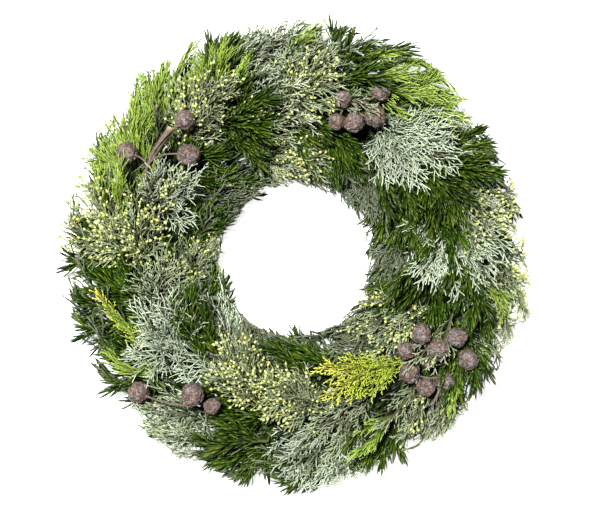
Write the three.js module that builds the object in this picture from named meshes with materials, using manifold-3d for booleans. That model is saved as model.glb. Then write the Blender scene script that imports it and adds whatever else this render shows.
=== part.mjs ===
// A fresh evergreen wreath, lying on its back. Millimetres, +Z up out of the wreath's face, +Y towards its
// top. The origin is on the surface it lies on, under the middle of the whole.
//
// A wire ring carries eighteen bunches, each held by a clamp whose two prongs are bent over its cut
// stems. A bunch has two to four sprays: fir, cypress in four colours, cypress with yellow cones in the
// bud at its tips, and in four bunches a woody branch of round seed cones. The sprays lie clockwise and
// fan out from the ring to the inner edge, the face and the outer edge, so that each bunch covers the
// stems of the next one.
//
// A spray is one solid. Its stem is a rod of few sides, and the facets of short bands round it are drawn
// out into needles or forked twigs. Each of these is tried against all that other sprays hold. One that
// would touch is turned aside, and left out if it still would.
import * as THREE from "three";
import { mergeVertices } from "three/addons/utils/BufferGeometryUtils.js";
import Module from "manifold-3d";

const wasm = await Module();
wasm.setup();
const rad = THREE.MathUtils.degToRad;

// ---- Driving dimensions, in millimetres and degrees ----
const RING_RADIUS = 200;
const RING_WIRE = 2; // radius of the ring's hexagonal wire
const RING_STEPS = 36;
const RING_HEIGHT = RING_WIRE * Math.cos(Math.PI / 6); // the wire's axis, when its flat lies on the table
const PRONG_WIRE = 1.1;
const STEM_WIRE = 2.2; // radius of a spray's cut stem
const STEM_TIP = 1.7; // and at its tip
const STEM_GAP = 0.45; // between stems, and between a stem and the wire
const STEM_NESTLE = 0.2; // how much closer than that the upper stems sink between the lower ones
const BUTT_LENGTH = 12; // of stem behind the prongs
const PRONG_END = 8; // of straight stem in front of them
const FACE_RISE = 19; // how far a stem's curve is drawn up behind the prongs, for a spray on the face
const EDGE_RISE = 5; // and for one at the edge
const LEADER = 0.4; // how far a cypress stem runs past its last twigs, as a share of a twig
const BARE_STEM = 0.35; // share of a stem that has no foliage
const BARE_FORK = 0.25;
const FORK_SHARE = 0.3; // of the main stem, where it forks
const LIFTS = [0, 5, -4, 10, -8, 15, 20, 26, 32]; // by which a stem is raised over those in its way
const TURNS = [0, 20, -20, 40, -40, 65, -65]; // degrees by which a twig is turned out of the way
const CREST_HEIGHT = 84; // of the tips over the ring
const EDGE_HEIGHT = 21; // of the tips at the inner and outer edge
const EDGE_LEVEL = 0.62; // of the crest's height, at which the lower sprays end
const INNER_WIDTH = 104; // from the ring to the inner edge
const OUTER_WIDTH = 112; // and to the outer edge
const CLEARANCE = 0.35; // between one spray and everything else
const FLOOR_GAP = 1.2; // under the lowest needle
const HOLE_RADIUS = 97; // no foliage reaches further in
const REACH = 308; // or further out

const NEEDLE = { length: 26, width: 2.1, lean: 50 };
const FIR = { whorl: 27, sides: 4, shoots: 1, shootLength: 44, shootLean: 42 };
const CONE_GROOVE = 0.87; // depth of the grooves between a cone's scales, as a share of its radius
const CONE_STALK = 1.3;
const STUB = { bunch: 280, clock: 315, radius: 227, height: 80, thickness: 4.4 }; // a branch cut short

// The flat, forked sprays of cypress: how far apart the pairs of twigs grow, how long the twigs are, how
// far they lean off the stem and their side shoots off them, how long those shoots are, and whether they
// end in buds.
const FANS = {
  silver: { step: 42, length: 56, lean: 34, shoot: 26, bud: false },
  grey: { step: 44, length: 52, lean: 40, shoot: 24, bud: false },
  budded: { step: 52, length: 46, lean: 38, shoot: 19, bud: true },
  lime: { step: 40, length: 50, lean: 26, shoot: 23, bud: false },
  gold: { step: 38, length: 44, lean: 40, shoot: 21, bud: false },
};
const TWIG = { half: 1.35, base: 2.6, fork: 0.4, upright: 0.55 }; // half its width; its fork, as a share
const BUD = { half: 1.6, length: 4 };
const MERGE = 0.04; // features smaller than this are merged away

const COLOURS = {
  ring: { color: 0x55594f, roughness: 0.5, metalness: 0.8 },
  fir: { color: 0x3c5a22, roughness: 0.6, metalness: 0 },
  silver: { color: 0x9db09a, roughness: 0.75, metalness: 0 },
  grey: { color: 0x76836a, roughness: 0.75, metalness: 0 },
  budded: { color: 0x98a070, roughness: 0.75, metalness: 0 },
  lime: { color: 0x8cae38, roughness: 0.65, metalness: 0 },
  gold: { color: 0xc6cc3c, roughness: 0.65, metalness: 0 },
  cones: { color: 0x75665c, roughness: 0.85, metalness: 0 },
};

// The bunches, clockwise from the top. A spray is its kind and its tips: each tip's clock angle and its
// distance from the centre. A cone branch has one tip, then its cones in the same way, each with its
// radius.
const BUNCHES = [
  { clock: 0, sprays: [
    ["fir", [34, 128]],
    ["cones", [24, 208], [15, 203, 11.5], [15, 174, 10], [22, 180, 12.5], [28, 198, 13.5], [26, 229, 12.5]],
    ["fir", [16, 274]],
  ] },
  { clock: 20, sprays: [
    ["grey", [55, 114]],
    ["silver", [54, 174], [56, 214]],
    ["lime", [46, 266], [37, 290]],
  ] },
  { clock: 40, sprays: [
    ["fir", [80, 118], [88, 158]],
    ["fir", [77, 208], [67, 262]],
    ["grey", [58, 260]],
  ] },
  { clock: 60, sprays: [
    ["grey", [100, 112]],
    ["silver", [97, 166], [103, 208]],
    ["budded", [84, 240], [80, 270]],
  ] },
  { clock: 80, sprays: [
    ["fir", [120, 114], [115, 182]],
    ["lime", [106, 262]],
    ["budded", [98, 284]],
  ] },
  { clock: 100, sprays: [
    ["budded", [139, 122], [129, 152]],
    ["cones", [138, 246], [117, 219, 12.5], [121.5, 245, 12.5], [124, 207, 14], [122.5, 179, 12.5],
      [129.5, 206, 8], [130.5, 238, 11.5], [136, 225, 11.5], [136.5, 198, 13], [131.5, 176, 11]],
    ["fir", [133, 258]],
    ["grey", [118, 264]],
  ] },
  { clock: 120, sprays: [
    ["grey", [158, 124]],
    ["gold", [172, 142], [170, 174]],
    ["grey", [143, 272]],
  ] },
  { clock: 140, sprays: [
    ["grey", [174, 214]],
    ["fir", [163, 274]],
  ] },
  { clock: 160, sprays: [
    ["fir", [192, 110]],
    ["budded", [195, 164]],
    ["silver", [183, 268], [180, 290]],
  ] },
  { clock: 180, sprays: [
    ["grey", [216, 114]],
    ["budded", [220, 146]],
    ["fir", [206, 224], [203, 274]],
  ] },
  { clock: 200, sprays: [
    ["silver", [236, 112], [232, 182]],
    ["cones", [221, 240], [210.5, 215, 10], [218, 217, 14], [230, 263, 13]],
    ["grey", [226, 274]],
  ] },
  { clock: 220, sprays: [
    ["fir", [256, 112]],
    ["silver", [250, 174], [248, 208]],
    ["lime", [258, 250]],
    ["fir", [243, 264]],
  ] },
  { clock: 240, sprays: [
    ["budded", [278, 112]],
    ["grey", [268, 168]],
    ["fir", [272, 232], [258, 278]],
  ] },
  { clock: 260, sprays: [
    ["fir", [298, 114]],
    ["budded", [284, 208], [286, 268]],
    ["fir", [277, 280]],
  ] },
  { clock: 280, sprays: [
    ["grey", [318, 110]],
    ["silver", [304, 170]],
    ["cones", [303, 222], [312.5, 188, 14], [301, 252, 13], [320, 222, 12.5]],
    ["lime", [308, 274], [297, 284]],
  ] },
  { clock: 300, sprays: [
    ["fir", [320, 172]],
    ["budded", [338, 238]],
    ["lime", [322, 284]],
  ] },
  { clock: 320, sprays: [
    ["budded", [356, 120], [14, 114]],
    ["fir", [348, 168], [347, 206]],
    ["lime", [338, 266]],
    ["fir", [343, 280]],
  ] },
  { clock: 340, sprays: [
    ["fir", [15, 165]],
    ["budded", [13, 222]],
    ["grey", [8, 262], [352, 288]],
  ] },
];

// ---- Small helpers ----
const vec = (x, y, z) => new THREE.Vector3(x, y, z);
const Z = vec(0, 0, 1);

// A point by clock angle, distance from the centre and height.
const at = (clock, radius, height) =>
  vec(radius * Math.sin(rad(clock)), radius * Math.cos(rad(clock)), height);

// The clockwise direction along the ring.
const onward = (clock) => vec(Math.cos(rad(clock)), -Math.sin(rad(clock)), 0);

const outward = (point) => vec(point.x, point.y, 0).normalize();
const clockOf = (point) => THREE.MathUtils.radToDeg(Math.atan2(point.x, point.y));
const mix = (a, b, share) => a.clone().lerp(b, share);

// Repeatable random numbers from -1 to 1.
function dice(seed) {
  let state = seed >>> 0;
  return () => {
    state = (state + 0x6d2b79f5) >>> 0;
    let t = Math.imul(state ^ (state >>> 15), 1 | state);
    t = (t + Math.imul(t ^ (t >>> 7), 61 | t)) ^ t;
    return ((t ^ (t >>> 14)) >>> 0) / 2147483648 - 1;
  };
}

// How high the tips stand at a distance from the centre: a half-round crest over the ring.
function crest(radius) {
  const width = radius > RING_RADIUS ? OUTER_WIDTH : INNER_WIDTH;
  const across = Math.min(1, Math.abs(radius - RING_RADIUS) / width);
  return EDGE_HEIGHT + (CREST_HEIGHT - EDGE_HEIGHT) * Math.sqrt(1 - across * across);
}

// The direction that foliage faces: up over the ring, and more and more sideways towards both edges.
function facing(point) {
  const away = (Math.hypot(point.x, point.y) - RING_RADIUS) / OUTER_WIDTH;
  return Z.clone().addScaledVector(outward(point), 0.9 * away).normalize();
}

// ---- Solids ----
const solidOf = (vertices, triangles) =>
  new wasm.Manifold(new wasm.Mesh({
    numProp: 3,
    vertProperties: new Float32Array(vertices),
    triVerts: new Uint32Array(triangles),
  }));

// A closed three.js geometry as a solid, with its shared corners merged.
function solidFrom(geometry) {
  const bare = geometry.clone();
  bare.deleteAttribute("normal");
  bare.deleteAttribute("uv");
  const merged = mergeVertices(bare, 1e-3);
  const index = Array.from(merged.index.array);
  const whole = [];
  for (let i = 0; i < index.length; i += 3) {
    const [a, b, c] = index.slice(i, i + 3);
    if (a !== b && b !== c && c !== a) whole.push(a, b, c);
  }
  return solidOf(merged.attributes.position.array, whole);
}

// The sideways direction of each ring of a rod's corners. It starts upwards and is carried along
// untwisted.
function sidesAlong(points, up) {
  let side = up.clone();
  return points.map((_, i) => {
    const [before, after] = [points[Math.max(i - 1, 0)], points[Math.min(i + 1, points.length - 1)]];
    const along = after.clone().sub(before).normalize();
    side = side.addScaledVector(along, -side.dot(along)).normalize();
    return { along, side: side.clone(), across: along.clone().cross(side) };
  });
}

// A rod of few sides along points, with a radius at each of them. A last radius of 0 makes a pointed tip.
// Each point may have a twist round the rod. A sprout draws out one facet between a point and the next, where
// it then crosses nothing of the rod.
function rod(points, radii, sides, { up = Z, twists = [], sprouts = [] } = {}) {
  const vertices = [];
  sidesAlong(points, up).forEach(({ side, across }, i) => {
    for (let k = 0; k < (radii[i] > 0 ? sides : 1); k += 1) {
      const turn = (2 * Math.PI * k) / sides + (twists[i] ?? 0);
      const corner = points[i].clone().addScaledVector(side, radii[i] * Math.cos(turn));
      vertices.push(...corner.addScaledVector(across, radii[i] * Math.sin(turn)));
    }
  });
  const pointed = radii[radii.length - 1] === 0;
  const bands = points.length - 1 - (pointed ? 1 : 0);
  const last = bands * sides;
  const ends = [];
  const skins = new Map(); // the triangles of each facet, by its band and its side
  const facetAt = (low, k, n) => [low + k, low + n, low + sides + n, low + sides + k];
  for (let k = 0; k < sides; k += 1) {
    const n = (k + 1) % sides;
    for (let band = 0; band < bands; band += 1) {
      skins.set(`${band},${k}`, facesOf(vertices, drawOut(vertices, facetAt(band * sides, k, n))));
    }
    if (pointed) ends.push(last + k, last + n, last + sides);
    else if (k > 0 && n > 0) ends.push(last, last + k, last + n);
    if (k > 0 && n > 0) ends.push(0, n, k);
  }
  skins.set("ends", facesOf(vertices, ends));
  for (const { band, side, ...sprout } of sprouts) {
    const facet = facetAt(band * sides, side, (side + 1) % sides);
    const drawn = facesOf(vertices, drawOut(vertices, facet, sprout));
    const others = [...skins].flatMap(([key, skin]) => (key === `${band},${side}` ? [] : skin));
    const clear = !drawn.some((face) => [...others, ...drawn].some((other) => cross(face, other)));
    if (clear) skins.set(`${band},${side}`, drawn);
  }
  return solidOf(vertices, [...skins.values()].flat().flatMap(({ index }) => index));
}

// Triangles with their corners and the boxes round them.
function facesOf(vertices, triangles) {
  const faces = [];
  for (let i = 0; i < triangles.length; i += 3) {
    const index = triangles.slice(i, i + 3);
    const corners = index.map((c) => vec(...vertices.slice(3 * c, 3 * c + 3)));
    faces.push({ index, corners, box: new THREE.Box3().setFromPoints(corners) });
  }
  return faces;
}

// Whether an edge of one triangle goes through the other.
function cross(one, other) {
  if (!one.box.intersectsBox(other.box)) return false;
  return [[one, other], [other, one]].some(([face, target]) => [0, 1, 2].some((k) => {
    const [i, n] = [face.index[k], face.index[(k + 1) % 3]];
    if (target.index.includes(i) || target.index.includes(n)) return false;
    const way = face.corners[(k + 1) % 3].clone().sub(face.corners[k]);
    const length = way.length();
    const hit = new THREE.Ray(face.corners[k], way.divideScalar(length))
      .intersectTriangle(...target.corners, false, vec(0, 0, 0));
    return hit !== null && hit.distanceTo(face.corners[k]) < length;
  }));
}

// A four-cornered facet: flat, or drawn out to the tip of a needle, or into a twig through square
// sections of its own, with side shoots between two of them and a bud at its end.
function drawOut(vertices, facet, sprout) {
  if (!sprout) return [facet[0], facet[1], facet[2], facet[0], facet[2], facet[3]];
  const triangles = [];
  const corner = (i) => vec(...vertices.slice(3 * i, 3 * i + 3));
  const { tip, along, sections = [], shoots = [] } = sprout;
  let ring = facet;
  sections.forEach(({ centre, half }, band) => {
    const across = corner(facet[1]).sub(corner(facet[0]));
    across.addScaledVector(along, -across.dot(along)).normalize();
    const onwards = across.clone().cross(along).normalize();
    if (onwards.dot(corner(facet[3]).sub(corner(facet[0]))) < 0) onwards.negate();
    const next = [[-1, -1], [-1, 1], [1, 1], [1, -1]].map(([u, v]) => vertices.push(
      ...centre.clone().addScaledVector(onwards, u * half).addScaledVector(across, v * half)) / 3 - 1);
    for (let k = 0; k < 4; k += 1) {
      const n = (k + 1) % 4;
      const shoot = shoots.find((found) => found.band === band && found.side === k);
      triangles.push(...drawOut(vertices, [ring[k], ring[n], next[n], next[k]], shoot));
    }
    ring = next;
  });
  for (let k = 0; k < 4; k += 1) triangles.push(ring[k], ring[(k + 1) % 4], vertices.length / 3);
  vertices.push(...tip);
  return triangles;
}

// A round seed cone: twelve shield-shaped scales, each raised to a blunt point, with grooves between them.
function seedCone(centre, radius, spin) {
  const shape = new THREE.IcosahedronGeometry(radius).deleteAttribute("normal").deleteAttribute("uv");
  const ball = mergeVertices(shape);
  ball.applyQuaternion(new THREE.Quaternion().setFromEuler(new THREE.Euler(spin, 2 * spin, 3 * spin)));
  const vertices = Array.from(ball.attributes.position.array);
  const corner = (i) => vec(...vertices.slice(3 * i, 3 * i + 3));
  const grooves = new Map(); // the groove point on the left of each edge
  for (let f = 0; f < ball.index.count; f += 3) {
    const [a, b, c] = ball.index.array.slice(f, f + 3);
    const point = vertices.length / 3;
    vertices.push(...corner(a).add(corner(b)).add(corner(c)).setLength(radius * CONE_GROOVE));
    for (const edge of [[a, b], [b, c], [c, a]]) grooves.set(edge.join(), point);
  }
  const triangles = [];
  for (const [edge, left] of grooves) {
    const [a, b] = edge.split(",").map(Number);
    triangles.push(a, grooves.get([b, a].join()), left);
  }
  return solidOf(vertices, triangles).translate(centre.toArray());
}

// ---- Room: everything that is placed, as straight pieces with a radius ----
const placed = [];
let parts = 0;
const newPart = () => (parts += 1); // marks the pieces of one twig or whorl, which may touch each other

// The shortest distance between two straight pieces.
function distance(a, b) {
  const [u, v, w] = [a.to.clone().sub(a.from), b.to.clone().sub(b.from), a.from.clone().sub(b.from)];
  const [uu, uv, vv, uw, vw] = [u.dot(u), u.dot(v), v.dot(v), u.dot(w), v.dot(w)];
  const spread = uu * vv - uv * uv;
  const clamp = (t) => Math.min(1, Math.max(0, t));
  let s = spread > 1e-9 ? clamp((uv * vw - vv * uw) / spread) : 0;
  const t = clamp((uv * s + vw) / (vv || 1));
  s = clamp((uv * t - uw) / (uu || 1));
  return w.addScaledVector(u, s).addScaledVector(v, -t).length();
}

// The straight pieces of a rod, for one owner.
const piecesOf = (owner, points, radii) =>
  points.slice(1).map((to, i) => ({ owner, from: points[i], to, radius: Math.max(radii[i], radii[i + 1]) }));

// How much room pieces have to spare, up to one millimetre: less than 0 where they would touch something.
function room(pieces) {
  let least = 1;
  for (const piece of pieces) {
    for (const end of [piece.from, piece.to]) {
      const reach = Math.hypot(end.x, end.y);
      least = Math.min(least, end.z - piece.radius - FLOOR_GAP, reach - HOLE_RADIUS, REACH - reach);
    }
    for (const other of placed) {
      if (other.owner === piece.owner && !(other.part && piece.part && other.part !== piece.part)) continue;
      const gap = distance(piece, other) - piece.radius - other.radius - CLEARANCE;
      if (gap < least) least = gap;
      if (least < 0) return least;
    }
  }
  return least;
}

// ---- The ring and its prongs ----
function makeRing() {
  const corner = RING_RADIUS / Math.cos(Math.PI / RING_STEPS); // so that it is straight under each bunch
  const profile = [0, 1, 2, 3, 4, 5, 0].map((k) => {
    const turn = (k * Math.PI) / 3;
    return new THREE.Vector2(corner + RING_WIRE * Math.cos(turn), RING_HEIGHT + RING_WIRE * Math.sin(turn));
  });
  const hoop = new THREE.LatheGeometry(profile, RING_STEPS).rotateX(Math.PI / 2);
  const solids = [solidFrom(hoop.rotateZ(Math.PI / RING_STEPS))];
  for (let step = 0; step < RING_STEPS; step += 1) {
    const ends = [-0.5, 0.5].map((k) => at(((step + k) * 360) / RING_STEPS, corner, RING_HEIGHT));
    placed.push(...piecesOf("ring", ends, [RING_WIRE, RING_WIRE]));
  }
  for (const { clock, sprays } of BUNCHES) {
    const seats = sprays.map((_, i) => stemSeat(i, sprays.length));
    const top = Math.max(...seats.map(({ height }) => height)) + STEM_WIRE + STEM_GAP + PRONG_WIRE;
    const out = Math.max(...seats.map(({ across }) => across)) + STEM_WIRE + 1.6 * STEM_GAP + PRONG_WIRE;
    const half = [[out, RING_HEIGHT], [out, top], [1.6, top + 0.4]];
    const clamp = [...half.map(([across, height]) => [-across, height]).reverse(), ...half];
    const points = clamp.map(([across, height]) => at(clock, RING_RADIUS + across, height));
    const radii = points.map(() => PRONG_WIRE);
    solids.push(rod(points, radii, 3, { up: onward(clock) }));
    placed.push(...piecesOf("ring", points, radii));
  }
  return fuse(solids);
}

// Where a stem lies under the prongs: the first and last over the wire, and the rest in the grooves on
// them.
function stemSeat(index, count) {
  const half = STEM_WIRE + STEM_GAP / 2;
  const wide = STEM_WIRE + STEM_GAP + RING_WIRE;
  const low = RING_HEIGHT + Math.sqrt(wide * wide - half * half);
  if (index === 0 || index === count - 1) return { across: index === 0 ? -half : half, height: low };
  return { across: (index - 1) * 2 * half, height: low + half * Math.sqrt(3) - STEM_NESTLE };
}

// ---- Stems ----
// A curve that leaves its start in one direction and ends at a tip, pointing half onwards round the ring.
function bend(start, heading, tip, rise) {
  const span = start.distanceTo(tip);
  const end = mix(onward(clockOf(tip)), tip.clone().sub(start).normalize(), 0.5);
  end.z = Math.min(end.z, 0);
  return new THREE.CubicBezierCurve3(
    start,
    start.clone().addScaledVector(heading, 0.35 * span).addScaledVector(Z, rise),
    tip.clone().addScaledVector(end, -0.3 * span).addScaledVector(Z, 0.7 * rise),
    tip);
}

// The stems of one spray: the main one from behind the prongs to the first tip, then its forks.
function stemsOf(spray, lift) {
  const { clock, seat, tips, level } = spray;
  const heading = onward(clock);
  const seated = at(clock, RING_RADIUS + seat.across, seat.height);
  const [first, ...others] = tips.map(([c, r]) => at(c, r, FLOOR_GAP + (crest(r) - FLOOR_GAP) * level));
  const rise = (level < 1 ? EDGE_RISE : FACE_RISE) + lift;
  const main = bend(seated.clone().addScaledVector(heading, PRONG_END), heading, first, rise);
  const butt = seated.clone().addScaledVector(heading, -BUTT_LENGTH);
  const root = main.getPointAt(FORK_SHARE);
  return [
    withStations(spray.kind, { curve: main, lead: [butt], bare: BARE_STEM, thick: STEM_WIRE }),
    ...others.map((tip) => {
      const fork = bend(root, main.getTangentAt(FORK_SHARE), tip, 0.5 * lift);
      return withStations(spray.kind, { curve: fork, lead: [], bare: BARE_FORK, thick: STEM_TIP });
    }),
  ];
}

// The corners of a stem's rod: where it is seated, and its stations. A station is a short band of the
// rod that needles or twigs are drawn out of. A cypress stem runs on to a point, and a cone branch has
// no stations.
function withStations(kind, { curve, lead, bare, thick }) {
  const fan = FANS[kind];
  const length = curve.getLength();
  const [step, width] = fan ? [fan.step, TWIG.base] : [FIR.whorl, NEEDLE.width];
  const shares = [0, bare / 2];
  if (kind === "cones") shares.push(0.45, 0.72, 1);
  const count = Math.max(1, Math.round((length * (1 - bare)) / step));
  for (let i = 0; i <= count && kind !== "cones"; i += 1) {
    const share = Math.min(1 - width / length, bare + ((1 - bare) * (i + 0.4)) / count);
    shares.push(share, share + width / length);
  }
  const points = [...lead, ...shares.map((share) => curve.getPointAt(Math.min(1, share)))];
  const radii = [...lead.map(() => thick), ...shares.map((share) => thick + (STEM_TIP - thick) * share)];
  const stem = { curve, bare, points, radii, first: lead.length + 2, last: points.length - 2 };
  if (fan) {
    points.push(curve.getPointAt(1).addScaledVector(curve.getTangentAt(1), LEADER * fan.length));
    radii.push(0);
  }
  return stem;
}

// Lays a spray's stems, raised or lowered until they are clear of all the stems before them.
function layStems(spray) {
  let best = { gap: -Infinity };
  for (const lift of LIFTS) {
    const stems = stemsOf(spray, lift);
    const pieces = stems.flatMap(({ points, radii }) => piecesOf(spray.name, points, radii));
    const gap = room(pieces);
    if (gap > best.gap) best = { gap, stems, pieces };
    if (gap >= 0) break;
  }
  if (best.gap < -STEM_NESTLE) throw new Error(`${spray.name} has no room for its stem`);
  spray.stems = best.stems;
  placed.push(...best.pieces);
}

// ---- Foliage ----
// Finds room for a twig or needle, turned aside where it would touch something. Nothing where it still
// would.
function settle(spray, shape) {
  for (const turn of TURNS) {
    const wanted = shape(rad(turn));
    const pieces = wanted.pieces.map((piece) => ({ owner: spray.name, ...piece }));
    if (room(pieces) < 0) continue;
    placed.push(...pieces);
    return wanted;
  }
  return null;
}

// A direction that leans off an axis by some degrees, towards a side that is turned round the axis.
const leaning = (along, side, turn, lean) =>
  along.clone().multiplyScalar(Math.cos(rad(lean)))
    .addScaledVector(side.clone().applyAxisAngle(along, turn), Math.sin(rad(lean)));

// A leafy stem of a fir: whorls of needles on all sides, each whorl turned against the last, and one at
// the tip.
function* growNeedles(spray, { points, radii, first, last }) {
  const twists = points.map((_, i) => (Math.floor((i - first) / 2) * Math.PI) / FIR.sides);
  const frames = sidesAlong(points, Z);
  const sprouts = [];
  for (let band = first; band <= last; band += 2) {
    const { along, side } = frames[band];
    const part = newPart();
    for (let k = 0; k < FIR.sides; k += 1) {
      const angle = (2 * Math.PI * (k + 0.5)) / FIR.sides + twists[band];
      const lean = NEEDLE.lean * (band === last ? 0.5 : 1) * (1 + 0.15 * spray.random());
      const size = NEEDLE.length * (1 + 0.12 * spray.random());
      const needle = settle(spray, (turn) => {
        const aside = leaning(along, side, angle + 0.5 * turn, lean);
        const tip = points[band].clone().addScaledVector(aside, size);
        const slim = mix(points[band], tip, 0.35);
        return { tip, pieces: [
          { part, from: points[band], to: slim, radius: 0.95 * NEEDLE.width },
          { part, from: slim, to: tip, radius: 0.6 * NEEDLE.width },
        ] };
      });
      if (needle) sprouts.push({ band, side: k, tip: needle.tip });
      yield;
    }
  }
  spray.solids.push(rod(points, radii, FIR.sides, { twists, sprouts }));
}

function* growFir(spray) {
  const shoots = [];
  for (const stem of spray.stems) {
    for (let i = 0; i < FIR.shoots; i += 1) {
      const share = 0.5 + (0.3 * i) / FIR.shoots + 0.06 * spray.random();
      const [root, along] = [stem.curve.getPointAt(share), stem.curve.getTangentAt(share)];
      const hand = spray.random() > 0 ? 1 : -1;
      const side = facing(root).cross(along).normalize().multiplyScalar(hand);
      const size = FIR.shootLength * (1 + 0.15 * spray.random());
      const shoot = settle(spray, (turn) => {
        const tip = root.clone().addScaledVector(leaning(along, side, turn, FIR.shootLean), size);
        return { tip, pieces: [{ from: root, to: tip, radius: STEM_TIP }] };
      });
      if (shoot) {
        const curve = new THREE.LineCurve3(root, shoot.tip);
        shoots.push(withStations("fir", { curve, lead: [], bare: 0.2, thick: STEM_TIP }));
      }
      yield;
    }
  }
  for (const stem of [...spray.stems, ...shoots]) yield* growNeedles(spray, stem);
}

// A leafy stem of a cypress: pairs of forked twigs to both sides, and a small upright twig between them.
function* growFan(spray) {
  const fan = FANS[spray.kind];
  for (const stem of spray.stems) {
    const { points, radii, first } = stem;
    const twists = points.map(() => Math.PI / 4);
    const frames = sidesAlong(points, Z);
    const sprouts = [];
    for (let band = first; band < points.length - 1; band += 2) {
      const { along: stemward, side, across } = frames[band];
      const last = band + 3 >= points.length;
      const part = newPart();
      const middle = mix(points[band], points[band + 1], 0.5);
      const outs = { 0: side, 1: across, 3: across.clone().negate() }; // by facet, and the top one is 0
      for (const facet of [1, 3, 0]) {
        const flat = facet !== 0;
        const lean = fan.lean * (last && flat ? 0.6 : 1) * (1 + 0.2 * spray.random());
        const share = (flat ? 1 : TWIG.upright) * (1 - band / points.length / 4);
        const size = share * fan.length * (1 + 0.15 * spray.random());
        const reach = fan.shoot * (1 + 0.2 * spray.random());
        const tilt = rad(flat ? 22 : 8) * spray.random();
        const twig = settle(spray, (turn) => {
          const along = leaning(stemward, outs[facet], 0.6 * turn + tilt, lean);
          const hands = last ? [-1] : [-1, 1];
          return twigShape(fan, { root: middle, stemward, along, size, reach: flat ? reach : 0, hands, part });
        });
        if (twig) sprouts.push({ band, side: facet === 0 ? 3 : facet - 1, ...twig });
        yield;
      }
    }
    spray.solids.push(rod(points, radii, 4, { twists, sprouts }));
  }
}

// One twig that is drawn out of a stem: sections where it forks, its shoots, and a bud or a point.
function twigShape(fan, { root, stemward, along, size, reach, hands, part }) {
  const side = stemward.clone().addScaledVector(along, -stemward.dot(along)).normalize();
  const spot = (u, v) => root.clone().addScaledVector(along, u).addScaledVector(side, v);
  const sections = [];
  const shoots = [];
  const fork = TWIG.fork * size;
  const pieces = [
    { part, from: root, to: spot(fork, 0), radius: 1.8 * TWIG.half },
    { part, from: spot(fork, 0), to: spot(size, 0), radius: fan.bud ? 1.4 * BUD.half : 1.4 * TWIG.half },
  ];
  if (reach) {
    for (const base of [0, TWIG.base]) sections.push({ centre: spot(fork + base, 0), half: TWIG.half });
    const [forward, sideways] = [reach * Math.cos(rad(fan.lean)), reach * Math.sin(rad(fan.lean))];
    for (const hand of hands) {
      const tip = spot(fork + forward, hand * sideways);
      shoots.push({ band: 1, side: hand < 0 ? 0 : 2, tip });
      pieces.push({ part, from: spot(fork, 0), to: tip, radius: 1.4 * TWIG.half });
    }
  }
  if (fan.bud) sections.push({ centre: spot(size - BUD.length, 0), half: BUD.half });
  return { along, tip: spot(size, 0), sections, shoots, pieces };
}

// The seed cones of a branch, each on its stalk from the nearest part of the branch.
function growCones(spray) {
  const [main] = spray.stems;
  const along = main.points.slice(2).flatMap((point, i) =>
    [0, 0.25, 0.5, 0.75].map((share) => mix(main.points[i + 1], point, share)));
  spray.solids.push(rod(main.points, main.radii, 4));
  for (const [clock, radius, size] of spray.cones) {
    const centre = at(clock, radius, crest(radius) - 3);
    const nearest = along.reduce((best, point, i) =>
      (point.distanceTo(centre) < along[best].distanceTo(centre) ? i : best), 0);
    const root = along[Math.max(0, nearest - 2)];
    const points = [root, centre];
    const radii = [CONE_STALK, CONE_STALK];
    spray.solids.push(rod(points, radii, 3), seedCone(centre, size, clock));
    placed.push(...piecesOf(spray.name, points, radii));
    placed.push({ owner: spray.name, from: centre, to: centre, radius: size });
  }
  if (spray.clock === STUB.bunch) {
    const points = [main.curve.getPointAt(1), at(STUB.clock, STUB.radius, STUB.height)];
    const radii = [STUB.thickness, STUB.thickness];
    spray.solids.push(rod(points, radii, 8));
    placed.push(...piecesOf(spray.name, points, radii));
  }
}

// ---- Assembly ----
// One closed body from solids that run into each other. Scraps that hang on to nothing are dropped.
function fuse(solids) {
  const bodies = wasm.Manifold.union(solids).simplify(MERGE).decompose();
  return bodies.reduce((largest, body) => (body.volume() > largest.volume() ? body : largest));
}

function meshOf(name, solid, look) {
  const { vertProperties, triVerts } = solid.getMesh();
  const geometry = new THREE.BufferGeometry();
  geometry.setAttribute("position", new THREE.BufferAttribute(vertProperties, 3));
  geometry.setIndex(new THREE.BufferAttribute(triVerts, 1));
  geometry.computeVertexNormals();
  const mesh = new THREE.Mesh(geometry, new THREE.MeshStandardMaterial({ ...look, flatShading: true }));
  mesh.name = name;
  return mesh;
}

// Takes turns between the sprays, one twig or needle each, until all are grown.
function growTogether(growths) {
  let growing = growths;
  while (growing.length) growing = growing.filter((growth) => !growth.next().done);
}

function buildWreath() {
  const pieces = new THREE.Group();
  pieces.add(meshOf("clamp_ring", makeRing(), COLOURS.ring));
  const sprays = BUNCHES.flatMap(({ clock, sprays: list }, bunch) =>
    list.map(([kind, ...tips], i) => ({
      name: `bunch_${String(bunch + 1).padStart(2, "0")}_${kind}_${i + 1}`,
      kind, clock, seat: stemSeat(i, list.length), solids: [],
      tips: kind === "cones" ? tips.slice(0, 1) : tips,
      cones: kind === "cones" ? tips.slice(1) : [],
      level: kind !== "cones" && (i === 0 || i === list.length - 1) ? EDGE_LEVEL : 1,
      random: dice(100 * bunch + i + 7),
    })));
  const branches = sprays.filter(({ kind }) => kind === "cones");
  const leafy = sprays.filter(({ kind }) => kind !== "cones");
  for (const branch of branches) {
    layStems(branch);
    growCones(branch);
  }
  for (const spray of leafy) layStems(spray);
  growTogether(leafy.map((spray) => (spray.kind === "fir" ? growFir(spray) : growFan(spray))));
  for (const spray of sprays) pieces.add(meshOf(spray.name, fuse(spray.solids), COLOURS[spray.kind]));
  const middle = new THREE.Box3().setFromObject(pieces).getCenter(vec(0, 0, 0));
  pieces.position.set(-middle.x, -middle.y, 0); // the origin is under the middle of the whole
  return new THREE.Group().add(pieces);
}

export default buildWreath();
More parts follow.
